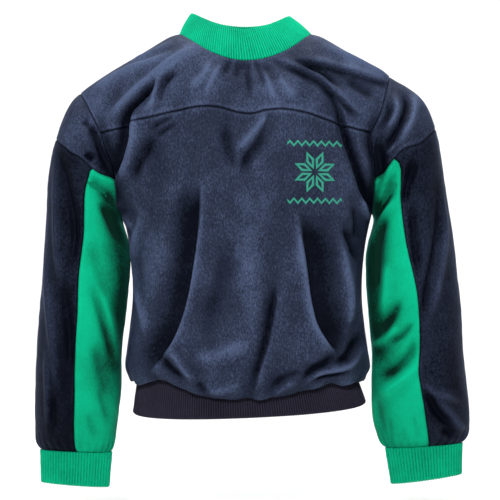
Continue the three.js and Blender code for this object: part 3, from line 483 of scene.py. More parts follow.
FOLDS_SLEEVE_RIGHT = [
    (-14, 4, 5, 0.1, [(401, 92), (407, 105), (402, 121), (393, 137), (385, 150)]),
    (-10, 4, 4, 0.1, [(385, 99), (389, 109), (385, 120), (376, 131)]),
    (5, 3, 4, 0.6, [(394, 96), (397, 109), (392, 122), (384, 134)]),
    (7, 4, 5, 0.4, [(412, 92), (414, 110), (408, 128), (398, 142)]),
    (-14, 5, 6, 0.1, [(374, 138), (377, 154), (379, 170), (378, 196)]),
    (5, 3, 3, 0.6, [(396, 142), (391, 150), (386, 154)]),
    (-6, 4, 5, 0.3, [(414, 158), (408, 180), (404, 206)]),
    (-5, 3, 4, 0.5, [(418, 160), (409, 186)]),
    (-9, 5, 7, 0.2, [(400, 172), (391, 184), (386, 197), (377, 213), (369, 230)]),
    (7, 5, 3, 0.5, [(392, 172), (384, 186), (380, 204), (372, 220), (365, 246)]),
    (8, 4, 5, 0.5, [(400, 196), (390, 206), (378, 224), (371, 238), (366, 254)]),
    (-8, 4, 6, 0.3, [(388, 214), (380, 232), (376, 262), (378, 290)]),
    (5, 6, 6, 0.3, [(388, 262), (386, 290), (384, 318)]),
    (-8, 5, 6, 0.4, [(400, 300), (391, 318), (380, 332)]),
    (-6, 4, 4, 0.3, [(414, 322), (402, 336), (386, 342)]),
    (7, 5, 5, 0.3, [(372, 346), (388, 338), (398, 324)]),
    (-7, 6, 7, 0.2, [(418, 334), (412, 352), (400, 366), (388, 374), (376, 378)]),
    (7, 6, 6, 0.3, [(418, 366), (398, 382), (380, 396)]),
    (-2.5, 5, 5, 0.3, [(376, 398), (380, 418), (386, 440)]),
    (-1.6, 2, 2, 0.5, [(389, 418), (391, 432), (393, 443)]),
    (-1.3, 2, 2, 0.5, [(403, 424), (404, 434), (404, 442)]),
    (-1.6, 2, 2, 0.5, [(413, 416), (417, 430), (420, 441)]),
    (-7, 3, 4, 0.5, [(437, 176), (438, 210), (435, 240), (429, 275), (424, 305), (421, 332)]),
    (5, 3, 4, 0.7, [(443, 186), (445, 230), (442, 262), (436, 296), (428, 326)]),
    (-4, 5, 6, 0.3, [(412, 200), (414, 240), (420, 280)]),
    (-8, 5, 5, 0.4, [(426, 390), (436, 410), (452, 428)]),
    (7, 4, 5, 0.6, [(434, 398), (448, 410), (458, 424), (466, 430)]),
    (5, 4, 5, 0.4, [(424, 380), (432, 392), (446, 396), (460, 404)]),
    (-5, 4, 4, 0.3, [(440, 428), (456, 436)]),
]
# The hidden side, in the same steps, as if seen through the front
FOLDS_BODY_BACK = [
    (-8, 6, 7, 0.2, [(170, 78), (150, 98), (138, 124), (128, 152), (122, 182)]),
    (4, 4, 6, 0.5, [(178, 76), (160, 98), (148, 126), (138, 156)]),
    (-8, 7, 6, 0.2, [(324, 78), (342, 98), (354, 124), (364, 152), (370, 182)]),
    (4, 6, 4, 0.5, [(314, 78), (332, 100), (344, 128), (354, 158)]),
    (3.5, 4, 5, 0.6, [(222, 64), (206, 92), (186, 118), (164, 140)]),
    (-3.5, 5, 5, 0.3, [(216, 84), (198, 110), (178, 134)]),
    (3.5, 5, 4, 0.6, [(284, 66), (302, 96), (322, 122), (340, 142)]),
    (-3.5, 5, 5, 0.3, [(292, 88), (310, 114), (328, 136)]),
    (2.5, 6, 6, 0.3, [(254, 130), (250, 170), (254, 214)]),
    (6, 5, 7, 0.5, [(146, 224), (144, 266), (152, 312), (150, 352)]),
    (6, 5, 5, 0.5, [(346, 236), (350, 284), (344, 326)]),
    (-7, 5, 6, 0.4, [(350, 338), (332, 356), (318, 376)]),
    (-6, 6, 6, 0.3, [(176, 360), (190, 378)]),
    (5, 8, 8, 0.2, [(196, 360), (222, 368), (250, 358)]),
    (5, 7, 7, 0.2, [(270, 366), (292, 376), (312, 368)]),
    (-4, 6, 6, 0.3, [(222, 384), (232, 394)]),
    (-4, 6, 6, 0.3, [(284, 388), (300, 394)]),
    (-4, 5, 5, 0.4, [(248, 36), (246, 60), (250, 84)]),
    (-3, 4, 4, 0.3, [(232, 36), (226, 58)]),
    (3, 5, 5, 0.3, [(262, 38), (270, 62)]),
    (-3, 5, 5, 0.3, [(276, 38), (290, 60)]),
]
FOLDS_SLEEVE_BACK = {
    -1: [
        (-8, 5, 6, 0.4, [(84, 110), (92, 138), (104, 166), (112, 190)]),
        (6, 5, 6, 0.5, [(70, 104), (78, 138), (88, 166)]),
        (-8, 6, 7, 0.3, [(98, 200), (112, 224), (120, 250)]),
        (6, 5, 5, 0.5, [(56, 160), (58, 230), (52, 300), (56, 370)]),
        (-7, 6, 7, 0.2, [(72, 190), (74, 260), (66, 330)]),
        (-9, 5, 5, 0.5, [(92, 270), (100, 300), (112, 330), (118, 352)]),
        (7, 5, 5, 0.4, [(102, 262), (112, 292), (118, 316)]),
        (-8, 5, 5, 0.4, [(88, 348), (98, 376), (112, 404)]),
        (6, 5, 5, 0.4, [(98, 344), (110, 372), (116, 392)]),
        (-6, 5, 5, 0.3, [(56, 380), (62, 420)]),
    ],
    1: [
        (-8, 6, 5, 0.4, [(414, 100), (404, 130), (392, 158), (386, 184)]),
        (6, 6, 5, 0.5, [(426, 104), (418, 136), (408, 164)]),
        (-8, 7, 6, 0.3, [(400, 196), (386, 220), (376, 250)]),
        (6, 5, 5, 0.5, [(440, 160), (440, 230), (446, 300), (444, 370)]),
        (-7, 6, 7, 0.2, [(424, 190), (422, 260), (430, 330)]),
        (-9, 5, 5, 0.5, [(404, 280), (394, 306), (382, 330)]),
        (7, 5, 5, 0.4, [(394, 270), (384, 296), (374, 314)]),
        (-8, 5, 5, 0.4, [(412, 340), (400, 368), (384, 396)]),
        (6, 5, 5, 0.4, [(402, 336), (388, 362), (378, 384)]),
        (-6, 5, 5, 0.3, [(448, 372), (440, 410)]),
    ],
}
FOLDS_BODY = {-1: FOLDS_BODY_FRONT, 1: FOLDS_BODY_BACK}
STEPS_BODY = {-1: STEPS_BODY_FRONT, 1: STEPS_BODY_BACK}
FOLDS_SLEEVE = {-1: {-1: FOLDS_SLEEVE_LEFT, 1: FOLDS_SLEEVE_RIGHT}, 1: FOLDS_SLEEVE_BACK}
FOLD_GAIN = 1.6
STEEPEST = 1.15  # most that a fold rises, as a share of its narrower half width
REACH = 2.6  # how far from its path a fold is worked out, in half widths
BLUNT = 1.7  # how round a sharp crest stays, in steps


def path_points(path, per_leg=7):
    """Points on a smooth curve through a path."""
    p = np.array(path, float)
    if len(p) == 2:
        return np.linspace(p[0], p[1], per_leg + 1)
    return spline(lambda k: p[k], len(p) - 1, np.linspace(0, len(p) - 1, (len(p) - 1) * per_leg + 1))


def nearest_on(line, q):
    """For each place q: its distance to a line of points, the share of the way along it, and its side, which
    is 1 on the left and -1 on the right."""
    best = np.full(len(q), 1e9)
    where = np.zeros(len(q))
    turn = np.zeros(len(q))
    legs = len(line) - 1
    for k in range(legs):
        edge = line[k + 1] - line[k]
        off = q - line[k]
        s = np.clip(off @ edge / (edge @ edge), 0, 1)
        away = off - s[:, None] * edge
        d = np.hypot(away[:, 0], away[:, 1])
        closer = d < best
        best = np.where(closer, d, best)
        where = np.where(closer, (k + s) / legs, where)
        turn = np.where(closer, edge[0] * off[:, 1] - edge[1] * off[:, 0], turn)
    return best, where, np.sign(turn)


def along_paths(rows, uv, height_of_row):
    """Sums what each row's path lifts at places uv. height_of_row gets a row without its path."""
    flat = uv.reshape(-1, 2)
    total = np.zeros(len(flat))
    for *row, path in rows:
        line = path_points(path)
        reach, height = height_of_row(row)
        near = np.all((flat > line.min(0) - reach) & (flat < line.max(0) + reach), axis=1)
        if near.any():
            best, where, hand = nearest_on(line, flat[near])
            total[near] += height(best, where, hand) * smooth(reach - best, 0, 0.6 * reach)
    return total.reshape(uv.shape[:-1])


def tapered(where, least, end):
    """From least at a path's two ends up to 1 at end of the way in."""
    return lerp(least, 1, smooth(np.minimum(where, 1 - where), 0, end))


def fold_height(row):
    """How far from its path a fold reaches, and its height in mm."""
    rise, left, right, sharp = row
    top = math.copysign(min(abs(rise) * FOLD_GAIN, STEEPEST * UNIT * min(left, right)), rise)

    def height(best, where, hand):
        width = lerp(left, right, smooth(-hand * best, -1.2, 1.2))
        d = best / width
        blunt = BLUNT / width
        crest = np.exp(-2.1 * (np.sqrt(d * d + blunt * blunt) - blunt))
        return top * tapered(where, 0.12, 0.32) * lerp(np.exp(-1.4 * d * d), crest, sharp)

    return REACH * max(left, right), height


def step_height(row):
    """How far from its path a stepped crease reaches, and its height in mm."""
    rise_left, left, rise_right, right, blend = row

    def height(best, where, hand):
        on_left = rise_left * np.exp(-0.9 * (best / left) ** 2)
        on_right = rise_right * np.exp(-0.9 * (best / right) ** 2)
        return tapered(where, 0.05, 0.2) * lerp(on_left, on_right, smooth(-hand * best, -blend, blend))

    return REACH * max(left, right), height


def lattice_noise(p, size, seed):
    """Smooth noise from -1 to 1 with features of one size in mm, the same on every run."""
    g = p / size
    cell = np.floor(g).astype(np.int64)
    f = g - cell
    f = f * f * f * (f * (f * 6 - 15) + 10)
    value = 0
    for corner in range(8):
        bit = np.array([corner & 1, (corner >> 1) & 1, (corner >> 2) & 1])
        c = cell + bit
        h = (c[..., 0] * 73856093) ^ (c[..., 1] * 19349663) ^ (c[..., 2] * 83492791) ^ (seed * 2654435761)
        h = (h ^ (h >> 13)) * 1274126177 & 0xFFFFFFFF
        h = (h ^ (h >> 16)) & 0xFFFF
        weight = np.prod(np.where(bit == 1, f, 1 - f), axis=-1)
        value = value + weight * (h / 32767.5 - 1)
    return value


def waves(p):
    """The cloth's broad unevenness in mm: soft rolls that run mostly downwards."""
    q = p * np.array([1.0, 1.0, 0.42])
    bent = q + 14 * np.stack([lattice_noise(q, 60, s) for s in (1, 2, 3)], -1)
    return (2.1 * lattice_noise(bent, 46, 4) + 1.1 * lattice_noise(bent, 23, 5)
            + 0.35 * lattice_noise(p, 12, 6))


# Surfaces with their folds
STEP_EASE = 0.12  # share of a step's height that is left out of the painted shade and highlight
FACING_BODY = (0.05, 0.5)  # how far a normal turns to a side while that side's folds fade in
FACING_SLEEVE = (0.1, 0.55)
SIDE_FADE = (0, 0.1)  # folds fade in over this share of the way in from a side seam
WAIST_FADE = (1.6, 4.4)  # and over these rows above the waist seam
TOP_FADE = (0, 0.5)  # and these below the neck and the shoulder
ARMHOLE_FADE = (0, 0.7)  # and these rows of the sleeve
CUFF_FADE = (0.05, 1.1)
CRINKLE, CRINKLE_SIZE = 3.2, 21  # rise and size in mm of the uneven cloth of the blouse
CRINKLE_ROWS = (2.2, 4, 4.4, 6.6)
LIFTED_ROWS = (1.2, 3.2, 4.4, 7)  # the blouse's lower edge
GATHER, GATHERS = 2.8, 27  # rise in mm and number of the gathers above a cuff
GATHER_ROWS = (-1.7, -0.5, -0.35, 0)  # counted from the cuff
# How far the edge of the blouse over the waistband is pulled up at each place across
HEM_LIFT = {
    -1: table("x rise", [
        (-190, 4), (-168, 8), (-148, 17), (-128, 21), (-108, 17), (-84, 7), (-50, 0), (0, -3), (40, 0),
        (78, 7), (104, 14), (130, 16), (156, 12), (190, 4)]),
    1: table("x rise", [
        (-190, 2), (-150, 10), (-120, 22), (-96, 8), (-40, -3), (0, 6), (22, -2), (84, 6), (112, 20),
        (140, 10), (190, 2)]),
}


def body_surface(side, across, place):
    """Points of the body's cloth with its folds, and how far each stands out in mm for its painted shade and
    highlight.
    """
    p = body_at(side, across, place)
    n = body_normal(side, across, place)
    uv = front_view(p)
    facing = smooth(side * n[..., 1], *FACING_BODY)
    fade = smooth(1 - np.abs(across), *SIDE_FADE) * smooth(place, *WAIST_FADE)
    fade = fade * smooth(TOP - place, *TOP_FADE)
    steps = along_paths(STEPS_BODY[side], uv, step_height) * facing
    folds = along_paths(FOLDS_BODY[side], uv, fold_height) * facing
    crinkle = CRINKLE * lattice_noise(p * np.array([1, 1, 0.3]), CRINKLE_SIZE, 8)
    crinkle = crinkle * between(place, *CRINKLE_ROWS)
    rise = (folds + steps + waves(p) * smooth(TOP - place, 0, 2) + crinkle) * fade
    lift = along(HEM_LIFT[side]["x"], HEM_LIFT[side]["rise"], p[..., 0]) * between(place, *LIFTED_ROWS)
    p = p + np.stack([0 * lift, 0 * lift, lift], -1)
    return p + n * rise[..., None], rise - STEP_EASE * steps * fade


def sleeve_surface(sign, angle, row):
    """Points of a sleeve's cloth with its folds, and how far each stands out in mm."""
    p = sleeve_at(sign, angle, row)
    n = sleeve_normal(sign, angle, row)
    uv = front_view(p)
    last = len(SLEEVE[sign]["xo"])
    rise = 0.9 * waves(p)
    for side in (-1, 1):
        facing = smooth(side * n[..., 1], *FACING_SLEEVE)
        rise = rise + along_paths(FOLDS_SLEEVE[side][sign], uv, fold_height) * facing
    rise = rise * smooth(row, *ARMHOLE_FADE) * smooth(last - row, *CUFF_FADE)
    gather = GATHER * between(row - last, *GATHER_ROWS)
    uneven = 0.6 + 0.5 * lattice_noise(p, 40, 11)
    rise = rise + gather * uneven * np.cos(np.radians(angle) * GATHERS + 2.4 * lattice_noise(p, 30, 12))
    return p + n * rise[..., None], rise


# Meshes
SPACING = 2.5  # mm from point to point of a cloth
ENDS = (0.0, 0.7, 1.6, 2.8, 4.4)  # mm from an edge to the closer rows beside it
SEAM_TUCK, SEAM_ROLL = 1.25, 1.7  # how deep a sewn edge tucks in and how far from the edge, in mm
SEAM_LINE = 1.3  # half width of the painted shade along a seam, in mm
SEAM_HIGHLIGHT, SEAM_HIGHLIGHT_HALF = 4.5, 2  # where the painted highlight beside it runs, in mm from the edge, and its half width
EDGE_TURN = 4  # mm over which normals turn to those that two sewn edges share
# Each edge of a grid and the line beside it
EDGE_LINES = (("first", np.s_[0], np.s_[1]), ("last", np.s_[-1], np.s_[-2]),
              ("left", np.s_[:, 0], np.s_[:, 1]), ("right", np.s_[:, -1], np.s_[:, -2]))
RIB_SHAPE = 0.7  # under 1 makes a rib's section squarer than a wave
ROLL_TURNS = np.radians((30, 60, 90, 120, 150))
ROLL_REACH = 0.9  # how far a rolled edge stands out, as a share of a half circle


def run_length(p, axis=0):
    """Distance in mm along one direction of a line or grid, from its start to each point."""
    return np.insert(np.cumsum(np.linalg.norm(np.diff(p, axis=axis), axis=-1), axis=axis), 0, 0, axis=axis)


def even_places(line, low, high):
    """Places from low to high at even distances along a line, closer together at its two ends. Their number
    is odd, because the inside takes every second one."""
    fine = np.linspace(low, high, 1200)
    length = run_length(line(fine))
    near = np.array(ENDS)
    count = max(2, int(round((length[-1] - 2 * near[-1]) / SPACING)))
    middle = np.linspace(near[-1], length[-1] - near[-1], count + count % 2 + 1)
    return np.interp(np.concatenate([near[:-1], middle, length[-1] - near[:-1][::-1]]), length, fine)


def grid_normals(p):
    """Unit normals of a grid of points, taken from the grid itself."""
    n = np.cross(np.gradient(p, axis=1), np.gradient(p, axis=0))
    size = np.linalg.norm(n, axis=-1)
    for i in np.where(size.min(axis=0) < 1e-7)[0]:
        n[:, i] = n[:, i + 1 if i < p.shape[1] // 2 else i - 1]
    return unit(n)


def edge_distance(p, edges):
    """Distance in mm from each grid point to the nearest of the named edges."""
    down, across = run_length(p, 0), run_length(p, 1)
    to_edge = {"first": down, "last": down[-1:] - down, "left": across, "right": across[:, -1:] - across}
    return np.min([to_edge[name] for name in edges], axis=0)


def draw_back(p, edges):
    """Moves the sewn edges of a grid back by half a seam."""
    q = p.copy()
    for name, line, inner in EDGE_LINES:
        if name in edges:
            way = p[inner] - p[line]
            size = np.linalg.norm(way, axis=-1, keepdims=True)
            q[line] += way / np.maximum(size, 1e-6) * np.minimum(SEAM / 2, size * 0.6)
    return q


def mesh_object(name, points, faces, material_of_face, materials, painted_light):
    """The mesh gets a point attribute of painted shade and highlight: below 0 painted shade, as in a fold's
    hollow, above 0 painted highlight, as on a crest.
    """
    mesh = bpy.data.meshes.new(name)
    mesh.from_pydata((np.asarray(points) / 1000).tolist(), [], faces)
    mesh.polygons.foreach_set("material_index", np.asarray(material_of_face, dtype=np.int32))
    mesh.polygons.foreach_set("use_smooth", np.full(len(mesh.polygons), True))
    mesh.attributes.new("painted_light", "FLOAT", "POINT").data.foreach_set("value", np.asarray(painted_light, dtype=np.float32))
    for material in materials:
        mesh.materials.append(material)
    mesh.validate()
    mesh.update()
    obj = bpy.data.objects.new(name, mesh)
    bpy.context.scene.collection.objects.link(obj)
    return obj


def quads(a, b, c, d):
    return np.stack([a, b, c, d], -1).reshape(-1, 4).tolist()


def cloth_piece(node, p, painted_light, edges, materials, out, edge_normals, seam_shading=0.8):
    """A thin shell from a grid of outer points. Its inside has half the points each way."""
    n = grid_normals(p)
    n *= np.sign(np.sum(n[n.shape[0] // 2, n.shape[1] // 2] * out)) or 1
    for edge, directions in edge_normals.items():
        share = np.exp(-((edge_distance(p, (edge,)) / EDGE_TURN) ** 2))[..., None]
        spread = directions[None] if edge in ("first", "last") else directions[:, None]
        known = np.linalg.norm(spread, axis=-1, keepdims=True)
        n = unit(lerp(n, np.broadcast_to(spread, n.shape), share * known))
    to_seam = edge_distance(p, edges)
    tuck = SEAM_TUCK * np.exp(-((to_seam / SEAM_ROLL) ** 2))
    # Painted highlight a little way beside each seam and painted shade along the seam line
    crest = 0.25 * np.exp(-(((to_seam - SEAM_HIGHLIGHT) / SEAM_HIGHLIGHT_HALF) ** 2))
    painted_light = painted_light + seam_shading * (crest - np.exp(-((to_seam / SEAM_LINE) ** 2)))
    outer = draw_back(p, edges) - n * tuck[..., None]
    inner = (draw_back(p, edges) - n * CLOTH)[::2, ::2]
    o = np.arange(painted_light.size).reshape(painted_light.shape)
    i = painted_light.size + np.arange(inner[..., 0].size).reshape(inner.shape[:2])
    faces = quads(o[:-1, :-1], o[:-1, 1:], o[1:, 1:], o[1:, :-1])
    outside = len(faces)
    faces += quads(i[:-1, :-1], i[1:, :-1], i[1:, 1:], i[:-1, 1:])
    inside = len(faces)
    for fine, coarse, flip in ((o[0], i[0], True), (o[-1], i[-1], False), (o[:, 0], i[:, 0], False),
                               (o[:, -1], i[:, -1], True)):
        for k in range(len(coarse) - 1):
            a, b, c = (int(v) for v in fine[2 * k:2 * k + 3])
            d, e = int(coarse[k]), int(coarse[k + 1])
            for tri in ((a, b, d), (b, c, e), (b, e, d)):
                faces.append(list(tri[::-1]) if flip else list(tri))
    kinds = [0] * outside + [1] * (inside - outside) + [0] * (len(faces) - inside)
    points = np.concatenate([outer.reshape(-1, 3), inner.reshape(-1, 3)])
    a, b, c = (points[[f[k] for f in faces[:outside]]] for k in (0, 1, 2))
    if np.sum(np.cross(b - a, c - a), axis=0) @ np.asarray(out) < 0:
        faces = [f[::-1] for f in faces]
    painted_lights = np.concatenate([painted_light.ravel(), painted_light[::2, ::2].ravel()])
    return mesh_object(f"{node}_cloth", points, faces, kinds, materials, painted_lights)


def rib_tube(node, face, ribs, per_rib, heights, thick, rise, top_round, material, rib_shading):
    """A doubled rib tube. face gives points at turns in degrees and heights from 0 to 1. per_rib is the points
    in a rib, and the last argument says how strong the painted shade between the ribs and the painted
    highlight on them are."""
    turns = np.linspace(0, 360, 2881)
    length = run_length(face(turns, np.full(len(turns), 0.5)))
    count = ribs * per_rib
    tt, hh = np.meshgrid(np.interp(np.arange(count) / count * length[-1], length, turns), heights)
    base = face(tt, hh)
    up = face(tt, np.minimum(hh + 0.03, 1)) - face(tt, np.maximum(hh - 0.03, 0))
    n = unit(np.cross(face(tt + 0.5, hh) - face(tt - 0.5, hh), up))
    up = unit(up)
    rib = power(np.cos(np.arange(count) * math.tau / per_rib), RIB_SHAPE)
    raised = rise / 2 * (1 + rib)
    wander = 0.35 * lattice_noise(base, 9, 21) + 0.8 * lattice_noise(base * [1, 1, 0.5], 38, 22)
    outer = base + n * (raised + wander)[..., None]
    inner = base + n * (wander - thick - raised)[..., None]

    def roll(k, direction):
        """Rings that go round from the outer face to the inner one at row k."""
        middle = (outer[k] + inner[k]) / 2
        arm = outer[k] - middle
        reach = direction * up[k] * np.linalg.norm(arm, axis=-1, keepdims=True) * ROLL_REACH
        return [middle + arm * math.cos(turn) + reach * math.sin(turn) for turn in ROLL_TURNS]

    top = roll(-1, 1) if top_round else []
    rings = [*outer, *top, *inner[::-1], *roll(0, -1)[::-1]]
    points = np.concatenate(rings)
    index = np.arange(len(points)).reshape(len(rings), count)
    beside = np.roll(index, -1, axis=1)
    faces = quads(index, beside, np.roll(beside, -1, axis=0), np.roll(index, -1, axis=0))
    corners = points[np.array(faces)]
    volume = sum(np.sum(corners[:, 0] * np.cross(corners[:, k], corners[:, k + 1])) for k in (1, 2))
    if volume < 0:
        faces = [f[::-1] for f in faces]
    # Painted shade between the ribs and painted highlight on them
    painted_light = np.tile(rib_shading * rib, len(rings))
    return mesh_object(f"{node}_rib", points, faces, [0] * len(faces), [material], painted_light)


# Materials
PAINTED_LIGHT_SHARE, BROAD_SHARE = 0.7, 0.35  # how much the painted shade and highlight, and the broad unevenness, change the tone
GRAIN = (480, 4, 0.75)  # scale, detail and roughness of the noises
FINE_GRAIN = (1500, 2, 0.6)
PATCHES = (34, 3, 0.6)
BROAD = (9, 2, 0.5)
RIB_ROWS = {"Scale": 190, "Distortion": 1.2, "Detail": 1, "Detail Scale": 3}


class Nodes:
    """Makes and links the nodes of one material."""

    def __init__(self, material):
        material.use_nodes = True
        self.tree = material.node_tree
        self.tree.nodes.clear()

    def new(self, kind, inputs=(), **settings):
        """A node whose inputs, by name or number, get a constant or another node's output."""
        node = self.tree.nodes.new("ShaderNode" + kind)
        for name, value in settings.items():
            setattr(node, name, value)
        for key, value in dict(inputs).items():
            if isinstance(value, bpy.types.NodeSocket):
                self.tree.links.new(value, node.inputs[key])
            else:
                node.inputs[key].default_value = value
        return node

    def op(self, operation, *values, clamp=False):
        return self.new("Math", enumerate(values), operation=operation, use_clamp=clamp).outputs[0]

    def noise(self, coords, scale, detail, roughness):
        inputs = {"Vector": coords, "Scale": scale, "Detail": detail, "Roughness": roughness}
        return self.new("TexNoise", inputs).outputs["Fac"]

    def ramp(self, fac, *colours):
        """A ramp with its colours at even places."""
        node = self.new("ValToRGB", {"Fac": fac})
        elements = node.color_ramp.elements
        while len(elements) < len(colours):
            elements.new(0.5)
        for k, (element, colour) in enumerate(zip(elements, colours)):
            element.position = k / (len(colours) - 1)
            element.color = (*colour, 1)
        return node.outputs["Color"]

    def surface(self, **inputs):
        """The surface, from the inputs of its shader, with _ for a space in their names."""
        inputs = {name.replace("_", " "): value for name, value in inputs.items()}
        shader = self.new("BsdfPrincipled", inputs)
        self.new("OutputMaterial", {"Surface": shader.outputs[0]})


def linear(r, g, b):
    return tuple(((v / 255 + 0.055) / 1.055) ** 2.4 if v > 10 else v / 255 / 12.92 for v in (r, g, b))


def fabric(name, deep, middle, high, sheen, sheen_tint, printed=False, rib=False, roughness=0.85, gloss=0.08,
           gloss_tint=(1, 1, 1), grain_share=1.45, patch_share=0.32):
    """A cloth whose tone goes from deep to high with its painted shade and highlight, grain and patches."""
    material = bpy.data.materials.new(name)
    nodes = Nodes(material)
    op = nodes.op
    coords = nodes.new("TexCoord").outputs["Object"]
    drawn_out = nodes.new("Mapping", {"Vector": coords, "Scale": (1, 1, 0.5)}).outputs[0]
    grain = nodes.noise(drawn_out, *GRAIN)
    patches = nodes.noise(coords, *PATCHES)
    broad = nodes.noise(coords, *BROAD)
    # Painted shade and highlight from the mesh's point attribute, then grain, patches and broad unevenness
    tone = op("MULTIPLY", nodes.new("Attribute", attribute_name="painted_light").outputs["Fac"], PAINTED_LIGHT_SHARE)
    for source, share in ((grain, grain_share), (patches, patch_share), (broad, BROAD_SHARE)):
        tone = op("ADD", tone, op("MULTIPLY", op("SUBTRACT", source, 0.5), share))
    colour = nodes.ramp(op("ADD", tone, 0.5, clamp=True), deep, middle, high)
    if printed:
        colour = printed_colour(nodes, coords, colour, grain)
    height = op("ADD", grain, op("MULTIPLY", nodes.noise(drawn_out, *FINE_GRAIN), 0.5))
    if rib:
        wave = nodes.new("TexWave", {"Vector": coords, **RIB_ROWS}, wave_type="BANDS", bands_direction="Z",
                         wave_profile="SIN")
        height = op("ADD", op("MULTIPLY", height, 0.5), wave.outputs["Fac"])
    bump = nodes.new("Bump", {"Strength": 0.7, "Distance": 0.0006, "Height": height})
    nodes.surface(
        Base_Color=colour, Roughness=op("ADD", op("MULTIPLY", grain, 0.2), roughness - 0.1),
        Specular_IOR_Level=gloss, Specular_Tint=(*gloss_tint, 1), Sheen_Weight=sheen, Sheen_Roughness=0.3,
        Sheen_Tint=(*sheen_tint, 1), Normal=bump.outputs[0])
    return material


PRINT_X, PRINT_Z = 0.1022, -0.2214
PRINT_COLOUR = linear(50, 142, 118)
PETALS = 8
PETAL_MIDDLE = 19  # mm from the star's middle to a petal's
PETAL, SLIT = (14.5, 6.6), (8, 2.6)  # half length and half width of a petal and of the slit in it, in mm
BAND_AWAY, BAND_HALF, BAND_LENGTH = 40, 1.9, 42  # a zigzag's distance, half width and half length, in mm
ZIGZAG, ZIGZAG_SLOPE = 6, 1.15


def printed_colour(nodes, coords, colour, grain):
    """A plain eight-petalled star between two zigzag bands, printed on the chest."""
    op = nodes.op
    split = nodes.new("SeparateXYZ", {0: coords}).outputs
    x = op("MULTIPLY", op("SUBTRACT", split["X"], PRINT_X), 1000)
    z = op("MULTIPLY", op("SUBTRACT", split["Z"], PRINT_Z), 1000)
    radius = op("SQRT", op("ADD", op("MULTIPLY", x, x), op("MULTIPLY", z, z)))
    sector = math.tau / PETALS
    turn = op("MODULO", op("ADD", op("ARCTAN2", z, x), math.tau), sector)
    folded = op("ABSOLUTE", op("SUBTRACT", turn, sector / 2))
    out = op("ABSOLUTE", op("SUBTRACT", op("MULTIPLY", radius, op("COSINE", folded)), PETAL_MIDDLE))
    aside = op("MULTIPLY", radius, op("SINE", folded))

    def diamond(long_half, wide_half):
        return op("LESS_THAN", op("ADD", op("DIVIDE", out, long_half), op("DIVIDE", aside, wide_half)), 1)

    star = op("SUBTRACT", diamond(*PETAL), diamond(*SLIT), clamp=True)
    wave = op("MULTIPLY", op("PINGPONG", op("ADD", x, 200), ZIGZAG), ZIGZAG_SLOPE)
    band = op("SUBTRACT", op("SUBTRACT", op("ABSOLUTE", z), BAND_AWAY), wave)
    zigzag = op("LESS_THAN", op("ABSOLUTE", band), BAND_HALF)
    zigzag = op("MULTIPLY", zigzag, op("LESS_THAN", op("ABSOLUTE", x), BAND_LENGTH))
    worn = op("ADD", op("MULTIPLY", grain, 0.7), 0.5, clamp=True)
    mask = op("MULTIPLY", op("MAXIMUM", star, zigzag), worn)
    mix = nodes.new("Mix", {0: mask, 6: colour, 7: (*PRINT_COLOUR, 1)}, data_type="RGBA", blend_type="MIX")
    return mix.outputs[2]


# A cloth's deep and high colours are those of its painted shade and painted highlight, and of its grain's
# darker and lighter flecks
NAVY_TONES = (linear(2, 3, 8), linear(35, 41, 58), linear(72, 84, 112))
GREEN_TINT = (0.1, 1.0, 0.75)
VELOUR = dict(sheen=0.07, sheen_tint=(0.35, 0.48, 0.9), roughness=0.6, gloss=0.1, gloss_tint=(0.4, 0.5, 0.85))
RIB = dict(rib=True, grain_share=0.7, patch_share=0.3)
NAVY = fabric("navy_velour_nap_and_painted_light", *NAVY_TONES, **VELOUR)
NAVY_PRINT = fabric("navy_velour_print", *NAVY_TONES, printed=True, **VELOUR)
NAVY_BACK = fabric("navy_knit_back", linear(14, 18, 28), linear(24, 29, 42), linear(32, 38, 54), 0.2,
                   (0.6, 0.65, 0.8), rib=True)
GREEN = fabric("green_velour_nap_and_painted_light", linear(0, 34, 24), linear(0, 150, 109), linear(0, 188, 143), 0.15,
               GREEN_TINT, grain_share=0.45, patch_share=0.25)
GREEN_BACK = fabric("green_knit_back", linear(0, 90, 62), linear(0, 116, 84), linear(2, 136, 98), 0.1,
                    GREEN_TINT, rib=True)
GREEN_RIB = fabric("green_rib_knit", linear(0, 74, 54), linear(0, 162, 118), linear(0, 194, 146), 0.15,
                   GREEN_TINT, **RIB)
NAVY_RIB = fabric("navy_rib_knit", linear(8, 7, 13), linear(33, 31, 44), linear(50, 48, 63), 0.25,
                  (0.7, 0.66, 0.9), **RIB)

# The pieces
FOLD_SHADE_LIMIT, FOLD_HIGHLIGHT_LIMIT = -0.8, 0.52  # limits of the painted shade and painted highlight that a fold gives
FULL_SHADE_AT, FULL_HIGHLIGHT_AT = 11, 10  # mm of depth at which a fold's painted shade is full, and of rise at which its painted highlight is full
# How much lighter the yoke's colour is made than that of the body below it
YOKE_LIGHTER = 0.13
# Broad painted shade into the armholes, under the arms, over a sleeve's outer piece deepening away from its
# outer edge and on the under sleeve's inner half, with a little painted light on the under sleeve's front:
# where it sets in, as a share of the way across or in degrees from a sleeve's outer edge, how deep it is, and
# the lowest value that a piece gets
ARMHOLE_SIDE, ARMHOLE_SHADE, BODY_LOW = (0.68, 0.86), 0.75, -0.9
CAP_UNDER, CAP_ROWS, CAP_SHADE, CAP_LOW = (66, 106), (0.5, 1.4), 0.9, -0.95
OUTER_SIDE, OUTER_EDGE, OUTER_SHADE, OUTER_LOW = (8, 55), -0.05, {-1: -0.62, 1: -0.45}, -0.78
INNER_SIDE, INNER_ROWS, INNER_LIGHT, INNER_SHADE = (96, 152), (-4.5, -2.2), 0.12, -0.72
# Strength of the painted shade and highlight at the sleeves' seams
SLEEVE_SEAM_SHADING = 0.35
YOKE = BODY_LAST + YOKE_STEP
ALL_EDGES = ("first", "last", "left", "right")
built = {}


def painted_from_rise(rise):
    """Painted shade in hollows and painted highlight on crests, from how far the cloth stands out in mm."""
    return np.clip(np.where(rise < 0, rise / FULL_SHADE_AT, rise / FULL_HIGHLIGHT_AT), FOLD_SHADE_LIMIT, FOLD_HIGHLIGHT_LIMIT)


